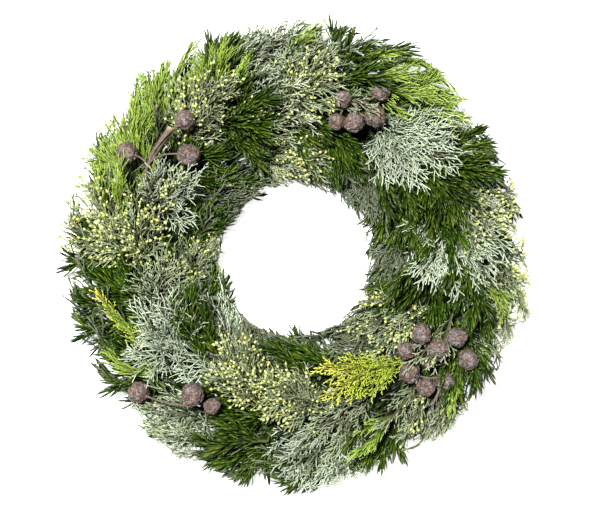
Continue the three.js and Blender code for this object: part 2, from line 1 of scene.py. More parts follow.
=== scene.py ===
"""The looks of a fresh evergreen wreath that lies on its back.

Every spray of the frame is grown again along the same stems, with all its twigs, needles, buds and cones.
Python lays out the lines that the foliage follows. Geometry Nodes sweep them into twigs and set needles, buds
and cones on them. Lengths are in metres.
"""

import math

import bpy
import numpy as np
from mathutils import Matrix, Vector
from mathutils.bvhtree import BVHTree


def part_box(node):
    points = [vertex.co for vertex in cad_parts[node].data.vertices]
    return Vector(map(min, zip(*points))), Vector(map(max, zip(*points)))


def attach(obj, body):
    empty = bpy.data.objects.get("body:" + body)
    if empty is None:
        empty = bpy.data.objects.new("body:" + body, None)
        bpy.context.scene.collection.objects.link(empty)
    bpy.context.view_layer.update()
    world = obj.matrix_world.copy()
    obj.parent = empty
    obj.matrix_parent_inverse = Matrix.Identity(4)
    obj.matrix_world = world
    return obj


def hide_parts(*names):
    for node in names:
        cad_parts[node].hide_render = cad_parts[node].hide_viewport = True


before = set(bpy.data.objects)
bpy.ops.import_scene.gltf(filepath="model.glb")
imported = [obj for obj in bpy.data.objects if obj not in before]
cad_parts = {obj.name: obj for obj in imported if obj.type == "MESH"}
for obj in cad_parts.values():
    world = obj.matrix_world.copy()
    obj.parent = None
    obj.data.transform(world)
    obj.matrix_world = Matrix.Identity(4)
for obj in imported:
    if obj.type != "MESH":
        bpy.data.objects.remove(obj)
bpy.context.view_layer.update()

# ---- Sizes that the frame shares ----
MM = 0.001
RING_RADIUS = 200 * MM
RING_WIRE = 2 * MM
RING_HEIGHT = RING_WIRE * math.cos(math.pi / 6)
PRONG_WIRE = 1.1 * MM
STEM_WIRE = 2.2 * MM
STEM_TIP = 1.7 * MM
STEM_GAP = 0.45 * MM
STEM_NESTLE = 0.2 * MM
BUTT_LENGTH = 12 * MM
PRONG_END = 8 * MM
FACE_RISE = 19 * MM
EDGE_RISE = 5 * MM
ROOT_BARE = 0.27
FORK_BARE = 0.08
FORK_SHARE = 0.3
# The lifts that a spray's stems may have in the frame.
LIFTS = [lift * MM for lift in (0, 5, -4, 10, -8, 15, 20, 26, 32)]
# A bent stem: how far its ends pull it, as shares of its span, and how much of its rise is left near its tip.
START_PULL = 0.35
END_PULL = 0.3
END_RISE = 0.7
CREST_HEIGHT = 84 * MM
EDGE_HEIGHT = 21 * MM
EDGE_LEVEL = 0.62
INNER_WIDTH = 104 * MM
OUTER_WIDTH = 112 * MM
FLOOR_GAP = 1.2 * MM
# The branch that is cut off short: the bunch it is in, where its end lies and how thick it is.
STUB = {"bunch": 280, "clock": 315, "radius": 227, "height": 80 * MM, "thickness": 4.4 * MM}

# The bunches, clockwise from the top. A spray is its kind and its tips: each tip's clock angle and its
# distance from the centre, in millimetres. A cone branch has one tip, then its cones in the same way, each
# with its radius.
BUNCHES = [
    (0, [("fir", [34, 128]),
         ("cones", [24, 208], [15, 203, 11.5], [15, 174, 10], [22, 180, 12.5], [28, 198, 13.5],
          [26, 229, 12.5]),
         ("fir", [16, 274])]),
    (20, [("grey", [55, 114]), ("silver", [54, 174], [56, 214]), ("lime", [46, 266], [37, 290])]),
    (40, [("fir", [80, 118], [88, 158]), ("fir", [77, 208], [67, 262]), ("grey", [58, 260])]),
    (60, [("grey", [100, 112]), ("silver", [97, 166], [103, 208]), ("budded", [84, 240], [80, 270])]),
    (80, [("fir", [120, 114], [115, 182]), ("lime", [106, 262]), ("budded", [98, 284])]),
    (100, [("budded", [139, 122], [129, 152]),
           ("cones", [138, 246], [117, 219, 12.5], [121.5, 245, 12.5], [124, 207, 14], [122.5, 179, 12.5],
            [129.5, 206, 8], [130.5, 238, 11.5], [136, 225, 11.5], [136.5, 198, 13], [131.5, 176, 11]),
           ("fir", [133, 258]), ("grey", [118, 264])]),
    (120, [("grey", [158, 124]), ("gold", [172, 142], [170, 174]), ("grey", [143, 272])]),
    (140, [("grey", [174, 214]), ("fir", [163, 274])]),
    (160, [("fir", [192, 110]), ("budded", [195, 164]), ("silver", [183, 268], [180, 290])]),
    (180, [("grey", [216, 114]), ("budded", [220, 146]), ("fir", [206, 224], [203, 274])]),
    (200, [("silver", [236, 112], [232, 182]),
           ("cones", [221, 240], [210.5, 215, 10], [218, 217, 14], [230, 263, 13]), ("grey", [226, 274])]),
    (220, [("fir", [256, 112]), ("silver", [250, 174], [248, 208]), ("lime", [258, 250]),
           ("fir", [243, 264])]),
    (240, [("budded", [278, 112]), ("grey", [268, 168]), ("fir", [272, 232], [258, 278])]),
    (260, [("fir", [298, 114]), ("budded", [284, 208], [286, 268]), ("fir", [277, 280])]),
    (280, [("grey", [318, 110]), ("silver", [304, 170]),
           ("cones", [303, 222], [312.5, 188, 14], [301, 252, 13], [320, 222, 12.5]),
           ("lime", [308, 274], [297, 284])]),
    (300, [("fir", [320, 172]), ("budded", [338, 238]), ("lime", [322, 284])]),
    (320, [("budded", [356, 120], [14, 114]), ("fir", [348, 168], [347, 206]), ("lime", [338, 266]),
           ("fir", [343, 280])]),
    (340, [("fir", [15, 165]), ("budded", [13, 222]), ("grey", [8, 262], [352, 288])]),
]

# ---- Sizes of the foliage ----
# Limbs grow off a stem, branches off both, and twigs off the branches. Each row gives how far apart they are,
# how long they are at the root and at the tip of what carries them, how far they lean off it, in degrees, how
# much they bend back along it, and their thickness. A limb's lengths are shares of what is left of the stem.
# Colours fade by a share to the light ones towards a spray's tips, fans are rolled by so many degrees, and
# buds are the share of the twigs on a budding branch that end in one.
CYPRESS = {
    "silver": {"fade": 0.3, "roll": 13, "buds": 0.0, "rows": {
        "limbs": (17, 0.92, 0.8, 28, 0.5, 1.3), "branches": (8.4, 46, 24, 32, 0.5, 1.1),
        "twigs": (5.6, 15, 10, 38, 0.4, 0.95)}},
    "grey": {"fade": 0.3, "roll": 15, "buds": 0.04, "rows": {
        "limbs": (16, 0.9, 0.8, 28, 0.5, 1.2), "branches": (7.4, 43, 22, 30, 0.5, 1.0),
        "twigs": (5.6, 13, 9, 36, 0.4, 0.88)}},
    "budded": {"fade": 0.3, "roll": 16, "buds": 0.9, "rows": {
        "limbs": (16, 0.9, 0.8, 28, 0.5, 1.2), "branches": (7.0, 40, 20, 30, 0.5, 1.0),
        "twigs": (5.5, 12, 8, 36, 0.4, 0.85)}},
    "lime": {"fade": 0.3, "roll": 12, "buds": 0.0, "rows": {
        "limbs": (15, 0.92, 0.85, 22, 0.6, 1.2), "branches": (4.6, 48, 26, 17, 0.55, 0.95),
        "twigs": (6.2, 17, 11, 17, 0.45, 0.85)}},
    "gold": {"fade": 0.8, "roll": 11, "buds": 0.0, "rows": {
        "limbs": (15, 0.55, 0.6, 30, 0.5, 1.2), "branches": (4.4, 24, 12, 38, 0.5, 1.0),
        "twigs": (3.6, 9, 6, 44, 0.4, 0.9)}},
}
TWIG_ROLL = 14
CYPRESS_ENDS = (0.9 * MM, 0.8 * MM)
BUD_SIZE = 2.1 * MM
BUD_OVAL = 1.5
BUD_VARIETY = (0.75, 1.2)
BUDDING = 0.42
FIR_LIMBS = (17, 0.82, 0.7, 29, 0.5, 1.5)
FIR_ENDS = (1.2 * MM, 1.0 * MM)
# A needle's sizes in millimetres and degrees, then its form: how narrow its foot is, how far up it is widest,
# how flat it is and how far it bows, all as shares.
NEEDLE = {"step": 1.55, "length": 27, "width": 2.1, "lean": 30, "foot": 0.6, "widest": 0.7, "flatness": 0.5,
          "bow": 0.14}
NEEDLE_VARIETY = (0.78, 1.08)
LEAN_VARIETY = (0.7, 1.2)
# Needles close up past this share of their line, to this share of their lean at its tip.
CLOSING_FROM = 0.6
CLOSED = 0.45
GOLDEN_ANGLE = math.radians(137.508)
# How much limbs and twigs vary, as shares, and how far a limb of a given length sags.
LIMB_VARIETY = {"length": 0.12, "side": 0.3, "lean": 0.16, "curl": 0.1}
TWIG_VARIETY = {"length": 0.15, "lean": 0.18, "curl": 0.08}
LIMB_SAG = 0.16 / (50 * MM)
TWIG_TAPER = 0.4
SHORTEST_LIMB = 22 * MM
SHORTEST_TWIG = 1.5 * MM
FULL_BRANCH = 24 * MM
# Sister stems: how far back and how far outwards of a stem's tip theirs stand, in degrees and millimetres.
SISTERS = {"fir": [(-6, 20), (-10, -20)], "silver": [(-8, 20), (-12, -8)], "grey": [(-6, 22), (-11, -20)],
           "budded": [(-6, 20), (-10, -22)], "lime": [(-7, -14)], "gold": []}
SISTER_LEVEL = 0.86
SISTER_VARIETY = 4
# Sprays that are one long, slender stem each, and how much shorter the twigs of those and of sprigs are.
SLENDER = ("bunch_05_lime_2", "bunch_12_lime_3")
NARROW = 0.5
SPRIG_NARROW = 0.7
INNERMOST_TIP = 112 * MM
OUTERMOST_TIP = 290 * MM
# Grey sprays with their tips nearer to the middle than this, in millimetres, lie deep among the others and
# take a darker finish, as painted shade.
DEEP = 130
# What fills a bunch from below: how far its tips lie from the middle, how far onwards, and how high.
FILLING = {
    "fir": (0.32, [(108, 24), (124, 12), (142, 26), (160, 14), (178, 24), (196, 10), (214, 26), (232, 14),
                   (250, 26), (266, 12), (282, 20)]),
    "grey": (0.6, [(104, 13), (128, 30), (240, 18), (268, 29), (288, 20)]),
}
FILLING_RISE = 4 * MM
FILLING_SPARSE = {"fir": 2.3, "grey": 2.1}
# A filling's roots lie a little before the bunch. They and its tips vary in degrees and millimetres.
FILLING_BEFORE = 3
FILLING_VARIETY = {"clock": 2, "radius": 3}
# The foliage isn't quite round the ring's middle: by how much, and at which clock angle it reaches least far.
DRIFT = 7
DRIFT_FROM = 50
# Small single sprigs among the bunches: kind, clock angle of the root, and clock angle and radius of the tip.
# Some hang over the edge, some lie on the crest and some fill gaps low down. Each group has the heights of
# its roots and tips, as shares of the crest.
HANGING = [("silver", 2, 19, 288), ("lime", 8, 26, 288), ("budded", 84, 102, 286), ("lime", 92, 104, 266),
           ("grey", 94, 111, 284), ("grey", 124, 143, 280), ("fir", 186, 203, 278), ("grey", 206, 224, 290),
           ("lime", 306, 324, 292), ("fir", 324, 341, 284), ("silver", 334, 350, 290),
           ("grey", 338, 356, 292), ("lime", 350, 4, 286), ("silver", 200, 217, 286),
           ("silver", 208, 226, 272), ("silver", 345, 1, 300), ("lime", 27, 42, 314),
           ("grey", 91, 105, 303), ("fir", 170, 184, 298), ("grey", 136, 150, 298),
           ("silver", 197, 213, 302), ("grey", 205, 221, 302), ("lime", 24, 41, 272),
           ("grey", 167, 182, 284), ("lime", 300, 317, 300), ("lime", 316, 333, 302), ("fir", 10, 27, 298),
           ("lime", 18, 34, 302), ("budded", 268, 284, 298), ("lime", 274, 292, 270)]
CREST = [("lime", 118, 134, 262), ("lime", 147, 162, 254), ("lime", 226, 240, 262), ("gold", 240, 260, 254),
         ("grey", 136, 153, 232), ("budded", 132, 150, 256), ("fir", 92, 108, 228), ("fir", 6, 23, 240),
         ("grey", 334, 350, 234), ("fir", 190, 207, 262), ("fir", 216, 238, 140), ("fir", 220, 244, 158),
         ("fir", 224, 249, 148), ("grey", 284, 301, 206), ("budded", 337, 355, 202),
         ("budded", 334, 352, 172), ("lime", 14, 31, 260), ("lime", 20, 38, 250), ("grey", 9, 24, 206),
         ("fir", 80, 98, 190), ("fir", 84, 103, 212), ("grey", 110, 127, 210), ("grey", 117, 133, 194),
         ("fir", 158, 180, 114), ("fir", 172, 194, 116), ("fir", 45, 63, 150), ("fir", 50, 69, 192),
         ("lime", 277, 296, 246), ("budded", 286, 303, 176), ("fir", 60, 80, 140), ("fir", 64, 84, 164),
         ("fir", 68, 87, 188), ("fir", 37, 56, 124), ("fir", 84, 104, 126), ("silver", 338, 358, 214),
         ("grey", 336, 354, 150), ("silver", 342, 2, 172), ("budded", 64, 80, 236), ("budded", 69, 87, 218)]
LOW = [("fir", 300, 322, 124), ("fir", 72, 87, 260), ("fir", 84, 100, 250), ("fir", 48, 64, 254),
       ("fir", 146, 162, 132), ("fir", 3, 19, 190), ("fir", 94, 110, 256), ("grey", 134, 149, 264),
       ("fir", 282, 300, 196), ("fir", 198, 213, 198), ("grey", 278, 293, 264), ("fir", 98, 114, 240),
       ("fir", 312, 328, 168)]
SPRIG_ROOT = 0.4
SPRIG_GROUPS = [(HANGING, (0.3, 0.8)), (CREST, (0.66, 1.06)), (LOW, (0.2, 0.5))]
SPRIGS = [(*sprig, heights) for group, heights in SPRIG_GROUPS for sprig in group]
# Foliage is pressed up off the floor, and pushed out of a circle in the open middle and into one at the outer
# edge, all of it softly. Each circle's middle has a clock angle and a distance from the ring's.
FLOOR_REST = 1.5 * MM
FLOOR_SOFTNESS = 5 * MM
HOLE_RADIUS = 95 * MM
HOLE_MIDDLE = (235, 9 * MM)
HOLE_MARGIN = 8 * MM
OUTER_REACH = 306 * MM
OUTER_MIDDLE = (310, 11 * MM)
OUTER_MARGIN = 16 * MM
OUTER_VARIETY = 8 * MM
# Where the outline draws in or swells out: clock angle, how far round to each side, and how deep.
DENTS = [(57, 20, 23 * MM), (100, 7, -12 * MM), (120, 6, 15 * MM), (157, 10, 19 * MM), (188, 7, 20 * MM),
         (231, 7, 17 * MM)]
# How much less limbs lean that would lead over an edge, and how far fine stems' tips point onwards.
COMBED = 0.75
FLOW = 0.85
# How far foliage faces sideways at the outer edge, and how fast limbs count as led over an edge.
SIDEWAYS = 0.9
STRAYING = 1.6
# The cones: their stalks, a little finer than the frame's, how far they sink below the crest, how flat and
# wrinkled they are, and which height of their relief lies at the level of the ball. Each is turned at random
# and takes its scales from a place of its own in the pattern.
CONE_STALK = 0.9 * 1.3 * MM
CONE_SINK = 3 * MM
CONE_FLATNESS = 0.94
CONE_WRINKLE = 0.55
CONE_LEVEL = 0.34
CONE_TURNS = 6.3
CONE_PLACES = 90
WOOD_SIDES = 10
# The wire: how far the ring is raised, as it is rounder than the frame's and would dip into the floor, and
# where the two prongs of a clamp meet over the stems.
RING_LIFT = 0.2 * MM
PRONG_MEETING = 1.6 * MM
PRONG_ARCH = 0.4 * MM


# ---- Places ----
ring_low, ring_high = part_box("clamp_ring")
CENTRE = np.array([(ring_low[0] + ring_high[0]) / 2, (ring_low[1] + ring_high[1]) / 2, 0])
UP = np.array([0.0, 0.0, 1.0])


def at(clock, radius, height):
    """A point by clock angle, distance from the ring's middle and height."""
    turn = math.radians(clock)
    return CENTRE + np.array([radius * math.sin(turn), radius * math.cos(turn), height])


def onward(point):
    """The clockwise direction round the ring, at a point."""
    away = unit((point - CENTRE) * [1, 1, 0])
    return np.array([away[1], -away[0], 0])


def unit(vectors):
    """Vectors at length 1."""
    return vectors / np.maximum(np.linalg.norm(vectors, axis=-1, keepdims=True), 1e-12)


def crest(radius):
    """How high the tips stand at a distance from the middle: a half-round crest over the ring."""
    width = OUTER_WIDTH if radius > RING_RADIUS else INNER_WIDTH
    across = min(1, abs(radius - RING_RADIUS) / width)
    return EDGE_HEIGHT + (CREST_HEIGHT - EDGE_HEIGHT) * math.sqrt(1 - across * across)


def facing(points):
    """The directions that foliage faces: up over the ring, and more and more sideways towards both edges."""
    flat = (points - CENTRE) * [1, 1, 0]
    away = (np.linalg.norm(flat, axis=-1, keepdims=True) - RING_RADIUS) / OUTER_WIDTH
    return unit(UP + SIDEWAYS * away * unit(flat))


# ---- Stems, as the frame lays them ----
def stem_seat(index, count):
    """Where a stem lies under the prongs: outwards from the ring, and how high."""
    half = STEM_WIRE + STEM_GAP / 2
    wide = STEM_WIRE + STEM_GAP + RING_WIRE
    low = RING_HEIGHT + math.sqrt(wide * wide - half * half)
    if index in (0, count - 1):
        return (-half if index == 0 else half), low
    return (index - 1) * 2 * half, low + half * math.sqrt(3) - STEM_NESTLE


def respaced(line, count):
    """The same line with evenly spaced points."""
    steps = np.linalg.norm(np.diff(line, axis=0), axis=1)
    length = np.concatenate([[0], np.cumsum(steps)])
    wanted = np.linspace(0, length[-1], count)
    return np.stack([np.interp(wanted, length, line[:, k]) for k in range(3)], axis=1)


def bend(start, heading, tip, rise, flow=0.5):
    """A curve from a start and its heading to a tip, where it points onwards round the ring by a share."""
    span = np.linalg.norm(tip - start)
    end = flow * onward(tip) + (1 - flow) * unit(tip - start)
    end[2] = min(end[2], 0)
    a, b = start, start + START_PULL * span * heading + UP * rise
    c, d = tip - END_PULL * span * end + UP * END_RISE * rise, tip
    t = np.linspace(0, 1, 201)[:, None]
    return respaced((1 - t) ** 3 * a + 3 * (1 - t) ** 2 * t * b + 3 * (1 - t) * t * t * c + t ** 3 * d, 41)


def stems_of(spray, lift):
    """The stems of a spray: the main one from the prongs to the first tip, then its forks."""
    across, height = spray["seat"]
    seated = at(spray["clock"], RING_RADIUS + across, height)
    heading = onward(seated)
    tips = [at(c, r * MM, FLOOR_GAP + (crest(r * MM) - FLOOR_GAP) * spray["level"]) for c, r in spray["tips"]]
    rise = (EDGE_RISE if spray["level"] < 1 else FACE_RISE) + lift
    main = bend(seated + PRONG_END * heading, heading, tips[0], rise)
    fork = round(FORK_SHARE * (len(main) - 1))
    along = unit(main[fork + 1] - main[fork - 1])
    return [main] + [bend(main[fork], along, tip, 0.5 * lift) for tip in tips[1:]]


def framed_stems(spray):
    """The stems at the lift that the frame's own node has: the one whose lines lie best inside it."""
    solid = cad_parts[spray["name"]].data
    corners = [v.co for v in solid.vertices]
    tree = BVHTree.FromPolygons(corners, [tuple(p.vertices) for p in solid.polygons])

    def misfit(lift):
        points = np.concatenate([stem[4:-2:3] for stem in stems_of(spray, lift)])
        return sum(tree.find_nearest(Vector(point))[3] for point in points)

    return stems_of(spray, min(LIFTS, key=misfit))


# ---- Lines of foliage ----
class Twigs:
    """Many twigs: where each starts, its direction, the normal of its fan, its length and its bend."""

    def __init__(self, start, along, normal, length, curl):
        self.start, self.along, self.normal = start, unit(along), unit(normal)
        self.length, self.curl = length, curl

    def points(self, share):
        """Where the twigs are, at a share of their lengths."""
        run = self.length[:, None]
        return self.start + run * (self.along * share + 0.5 * self.curl * share * share)

    def heading(self, share):
        """Which way the twigs point, at a share of their lengths."""
        return unit(self.along + self.curl * share)


def leaning(along, normal, lean, roll, hand):
    """Directions that lean off others to one side, in a fan that may be rolled, and their fans' normals."""
    across = np.cross(normal, along)
    roll = roll[:, None]
    side = hand[:, None] * (across * np.cos(roll) + normal * np.sin(roll))
    lean = lean[:, None]
    return along * np.cos(lean) + side * np.sin(lean), np.cross(along, side) * hand[:, None]


def grow(start, along, normal, share, row, roll, random, scale):
    """Twigs from points on what carries them, alternately left and right. A row is one of CYPRESS's."""
    _, long, short, lean, back, _ = row
    count = len(start)
    hand = np.where(np.arange(count) % 2, 1.0, -1.0)
    leans = np.radians(lean) * (1 + TWIG_VARIETY["lean"] * random.normal(size=count))
    out, face = leaning(along, normal, leans, np.radians(roll) * random.normal(size=count), hand)
    length = (long + (short - long) * share) * MM * scale
    length = length * (1 + TWIG_VARIETY["length"] * random.normal(size=count))
    curl = back * (along - out) + TWIG_VARIETY["curl"] * random.normal(size=(count, 3))
    return Twigs(start, out, face, np.maximum(length, SHORTEST_TWIG), curl)


def offspring(parents, row, roll, random, first=0.12, last=0.97):
    """The twigs that grow from twigs, and which of those each one grows from."""
    counts = np.maximum(1, (parents.length * (last - first) / (row[0] * MM)).astype(int))
    owner = np.repeat(np.arange(len(counts)), counts)
    place = np.arange(len(owner)) - np.repeat(np.cumsum(counts) - counts, counts)
    share = (first + (last - first) * (place + 0.6) / counts[owner])[:, None]
    carriers = Twigs(parents.start[owner], parents.along[owner], parents.normal[owner],
                     parents.length[owner], parents.curl[owner])
    scale = np.clip(carriers.length / FULL_BRANCH, 0.6, 1.15)
    return owner, grow(carriers.points(share), carriers.heading(share), carriers.normal, share[:, 0], row,
                       roll, random, scale)


def pressed(values, least, softness):
    """Values raised smoothly to no less than the least one."""
    past = values - least
    return least + 0.5 * (past + np.sqrt(past * past + softness * softness))


def pushed(points, middle, radius, softness, side):
    """Points kept outside a circle round a middle, where the side is 1, or inside it, where it is -1."""
    flat = (points - middle) * [1, 1, 0]
    far = np.linalg.norm(flat, axis=-1, keepdims=True)
    kept = side * pressed(side * far, side * radius, softness)
    return points + flat * (kept / np.maximum(far, 1e-9) - 1)


def outline(points, reach):
    """How far out points may lie, where the outline draws in and where it swells out."""
    flat = points - CENTRE
    clock = np.degrees(np.arctan2(flat[..., :1], flat[..., 1:2]))
    for middle, width, depth in DENTS:
        reach = reach - depth * np.exp(-(((clock - middle + 180) % 360 - 180) / width) ** 2)
    return reach


def lifted(points, reach):
    """Points pressed smoothly off the floor, out of the hole and back from past their reach outwards."""
    points = pushed(points, at(*HOLE_MIDDLE, 0), HOLE_RADIUS, HOLE_MARGIN, 1)
    points = pushed(points, at(*OUTER_MIDDLE, 0), outline(points, reach), OUTER_MARGIN, -1)
    return points * [1, 1, 0] + UP * pressed(points[..., 2:], FLOOR_REST, FLOOR_SOFTNESS)


def spots_on(line, count, first, last):
    """Evenly spaced points on such a line, between two shares of it, and its directions there."""
    share = np.linspace(first, last, count)
    place = share * (len(line) - 1)
    steps = unit(np.gradient(line, axis=0))
    number = np.arange(len(line))
    return [np.stack([np.interp(place, number, rows[:, k]) for k in range(3)], axis=1)
            for rows in (line, steps)]


def length_of(line):
    """How long a line is."""
    return np.linalg.norm(np.diff(line, axis=0), axis=1).sum()


def astray(place, direction):
    """How far a direction leads over the nearer edge, the inner or the outer one: 0 not at all, 1 fully."""
    flat = (place - CENTRE) * [1, 1, 0]
    from_crest = (np.linalg.norm(flat) - RING_RADIUS) / OUTER_WIDTH
    return min(1, max(0, STRAYING * from_crest * (unit(flat) @ direction)))


def limbs_of(stem, row, first, last, random):
    """The limbs of a stem, in turn to both sides, each long enough to end about level with the stem's tip."""
    step, share_low, share_high, lean, back, _ = row
    whole = length_of(stem)
    count = max(2, round(whole * (last - first) / (step * MM)))
    starts, alongs = spots_on(stem, count, first, last)
    t = np.linspace(0, 1, 13)[:, None]
    for i, (start, along) in enumerate(zip(starts, alongs)):
        share = first + (last - first) * i / (count - 1)
        size = whole * (1 - share) * (share_low + (share_high - share_low) * share)
        size = max(size * (1 + LIMB_VARIETY["length"] * random.normal()), SHORTEST_LIMB)
        up = facing(start)
        side = unit(np.cross(up, along)) * (1 if i % 2 else -1)
        side = unit(side + LIMB_VARIETY["side"] * random.normal() * up)
        turn = math.radians(lean) * (1 + LIMB_VARIETY["lean"] * random.normal())
        turn = turn * (1 - COMBED * astray(start, side))
        out = along * math.cos(turn) + side * math.sin(turn)
        curl = back * (along - out) - LIMB_SAG * size * up + LIMB_VARIETY["curl"] * random.normal(size=3)
        yield start + size * (out * t + 0.5 * curl * t * t)


def mark(mesh, name, values):
    """Keeps a number or a vector for each of a mesh's points, under a name."""
    kind, field = ("FLOAT_VECTOR", "vector") if values.ndim == 2 else ("FLOAT", "value")
    mesh.attributes.new(name, kind, "POINT").data.foreach_set(field, values.astype(np.float32).ravel())


class Lines:
    """Lines that are swept into twigs, with the attributes that their points carry."""

    def __init__(self):
        self.points, self.edges, self.count = [], [], 0
        self.values = {"thick": [], "tone": [], "age": [], "wood": [], "sprout": []}

    def add(self, points, thick, tone, age, wood=0.0, sprout=0.0):
        """Adds lines with as many points each, as (lines, points, 3). Other values are spread over them."""
        lines, size = points.shape[:2]
        index = self.count + np.arange(lines * size).reshape(lines, size)
        self.points.append(points.reshape(-1, 3))
        self.edges.append(np.stack([index[:, :-1], index[:, 1:]], axis=2).reshape(-1, 2))
        for values, value in zip(self.values.values(), (thick, tone, age, wood, sprout)):
            values.append(np.broadcast_to(value, (lines, size)).reshape(-1))
        self.count += lines * size

    def mesh(self, name):
        """The lines as a mesh of points and edges. Each point is also given its line's direction."""
        points, edges = np.concatenate(self.points), np.concatenate(self.edges)
        mesh = bpy.data.meshes.new(name)
        mesh.vertices.add(len(points))
        mesh.vertices.foreach_set("co", points.astype(np.float32).ravel())
        mesh.edges.add(len(edges))
        mesh.edges.foreach_set("vertices", edges.astype(np.int32).ravel())
        for key, values in self.values.items():
            mark(mesh, key, np.concatenate(values))
        ends = unit(points[edges[:, 1]] - points[edges[:, 0]])
        aim = np.zeros_like(points)
        aim[edges[:, 0]] = ends
        aim[edges[:, 1]] = ends
        mark(mesh, "aim", aim)
        return mesh


def add_twigs(lines, twigs, reach, thick, size, age, tone, buds=None):
    """Adds twigs that thin out, as lines of a number of points, with a bud at the end of some."""
    share = np.linspace(0, 1, size)
    points = np.stack([twigs.points(s) for s in share], axis=1)
    ages = age[0] + (age[1] - age[0]) * share
    sprouts = 0.0 if buds is None else buds[:, None] * (share == 1)
    thicks = thick * MM * (1 - TWIG_TAPER * share)
    lines.add(lifted(points, reach), thicks, tone[:, None], ages, sprout=sprouts)


def add_stem(lines, stem, thick, thin, random, leafy=1.0, wood=1.0):
    """Adds a woody stem that thins towards its tip. Needles grow past a share of it."""
    share = np.linspace(0, 1, len(stem))
    lines.add(stem[None], thick + (thin - thick) * share, random.random(), 0.3, wood=wood,
              sprout=(share > leafy).astype(float))


def cypress(stems, lines, random, kind, root_bare):
    """Flat fans along stems and their limbs: branches and the twigs of those."""
    for number, stem in enumerate(stems):
        bare, thick = (FORK_BARE, STEM_TIP) if number else (root_bare, STEM_WIRE)
        add_stem(lines, lifted(stem, OUTER_REACH), thick, CYPRESS_ENDS[0], random)
        limbs = list(limbs_of(stem, kind["limbs"], bare + 0.02, 0.8, random))
        carriers = [(stem, bare, 1.0, OUTER_REACH)]
        for limb in limbs:
            share = np.linspace(1.0, 0.0, len(limb))
            carriers.append((limb, 0.08, 0.85, OUTER_REACH + OUTER_VARIETY * random.normal()))
            add_stem(lines, lifted(limb, carriers[-1][-1]), kind["limbs"][5] * MM, CYPRESS_ENDS[1], random,
                     wood=share)
        for line, first, scale, reach in carriers:
            count = max(4, int(length_of(line) * (1 - first) / (kind["branches"][0] * MM)))
            start, along = spots_on(line, count, first, 0.99)
            normal = facing(start)
            normal = unit(normal - along * (normal * along).sum(axis=1, keepdims=True))
            normal[::6] = np.cross(normal[::6], along[::6])
            branches = grow(start, along, normal, np.linspace(0, 1, count), kind["branches"], kind["roll"],
                            random, scale)
            carrier, twigs = offspring(branches, kind["twigs"], TWIG_ROLL, random)
            budding = kind["buds"] * (random.random(count) < BUDDING)
            buds = (random.random(len(carrier)) < budding[carrier]).astype(float)
            tones = []
            for part in (branches, twigs):
                far = np.linalg.norm(part.start - stem[0], axis=1) / length_of(stem)
                varied = (1 - kind["fade"]) * random.random(len(far))
                tones.append(varied + kind["fade"] * np.clip(2.2 * far - 1.0, 0, 1))
            add_twigs(lines, branches, reach, kind["branches"][5], 4, (0.2, 0.9), tones[0])
            add_twigs(lines, twigs, reach, kind["twigs"][5], 2, (0.6, 1.0), tones[1], buds=buds)


def fir(stems, lines, random, sparse, root_bare):
    """Woody stems and their limbs, which needles are then set along."""
    for number, stem in enumerate(stems):
        bare, thick = (FORK_BARE, STEM_TIP) if number else (root_bare, STEM_WIRE)
        add_stem(lines, lifted(stem, OUTER_REACH), thick, FIR_ENDS[0], random, leafy=bare)
        for limb in limbs_of(stem, (FIR_LIMBS[0] * sparse, *FIR_LIMBS[1:]), bare + 0.06, 0.8, random):
            reach = OUTER_REACH + OUTER_VARIETY * random.normal()
            add_stem(lines, lifted(limb, reach), FIR_LIMBS[5] * MM, FIR_ENDS[1], random, leafy=0.04)


def drift(clock):
    """How much nearer to the middle foliage stands on one side, in millimetres."""
    return DRIFT * math.cos(math.radians(clock - DRIFT_FROM))


def sisters_of(stems, kind, lift, random):
    """More stems beside each stem of a spray, forked from the first one low down. They make its fan wide."""
    main = stems[0]
    for stem in stems:
        tip = stem[-1] - CENTRE
        clock, radius = math.degrees(math.atan2(tip[0], tip[1])), math.hypot(tip[0], tip[1])
        for back, out in SISTERS[kind]:
            root = random.integers(5, 10)
            shift = (out + SISTER_VARIETY * random.normal() - drift(clock)) * MM
            far = min(max(radius + shift, INNERMOST_TIP), OUTERMOST_TIP)
            end = at(clock + back + random.normal(), far, min(tip[2], crest(far)) * SISTER_LEVEL)
            yield bend(main[root], unit(main[root + 1] - main[root - 1]), end, lift, FLOW)


def filling(clock, kind, random):
    """Short stems that lie low round the ring, under a bunch's sprays."""
    level, tips = FILLING[kind]
    turn = FILLING_VARIETY["clock"]
    for radius, ahead in tips:
        radius = (radius - drift(clock + ahead) + FILLING_VARIETY["radius"] * random.normal()) * MM
        root = clock - FILLING_BEFORE + turn * random.normal()
        start = at(root, 0.5 * (RING_RADIUS + radius), RING_HEIGHT + 3 * STEM_WIRE)
        tip = at(clock + ahead + turn * random.normal(), radius, level * crest(radius))
        yield bend(start, onward(start), tip, FILLING_RISE, FLOW)


def sprig(root, tip, radius, low, level):
    """One short stem among the others. Its root and tip are so high, as shares of the crest."""
    radius = radius * MM
    start = at(root, SPRIG_ROOT * RING_RADIUS + (1 - SPRIG_ROOT) * radius, low * CREST_HEIGHT)
    return bend(start, onward(start), at(tip, radius, level * crest(radius)), EDGE_RISE)


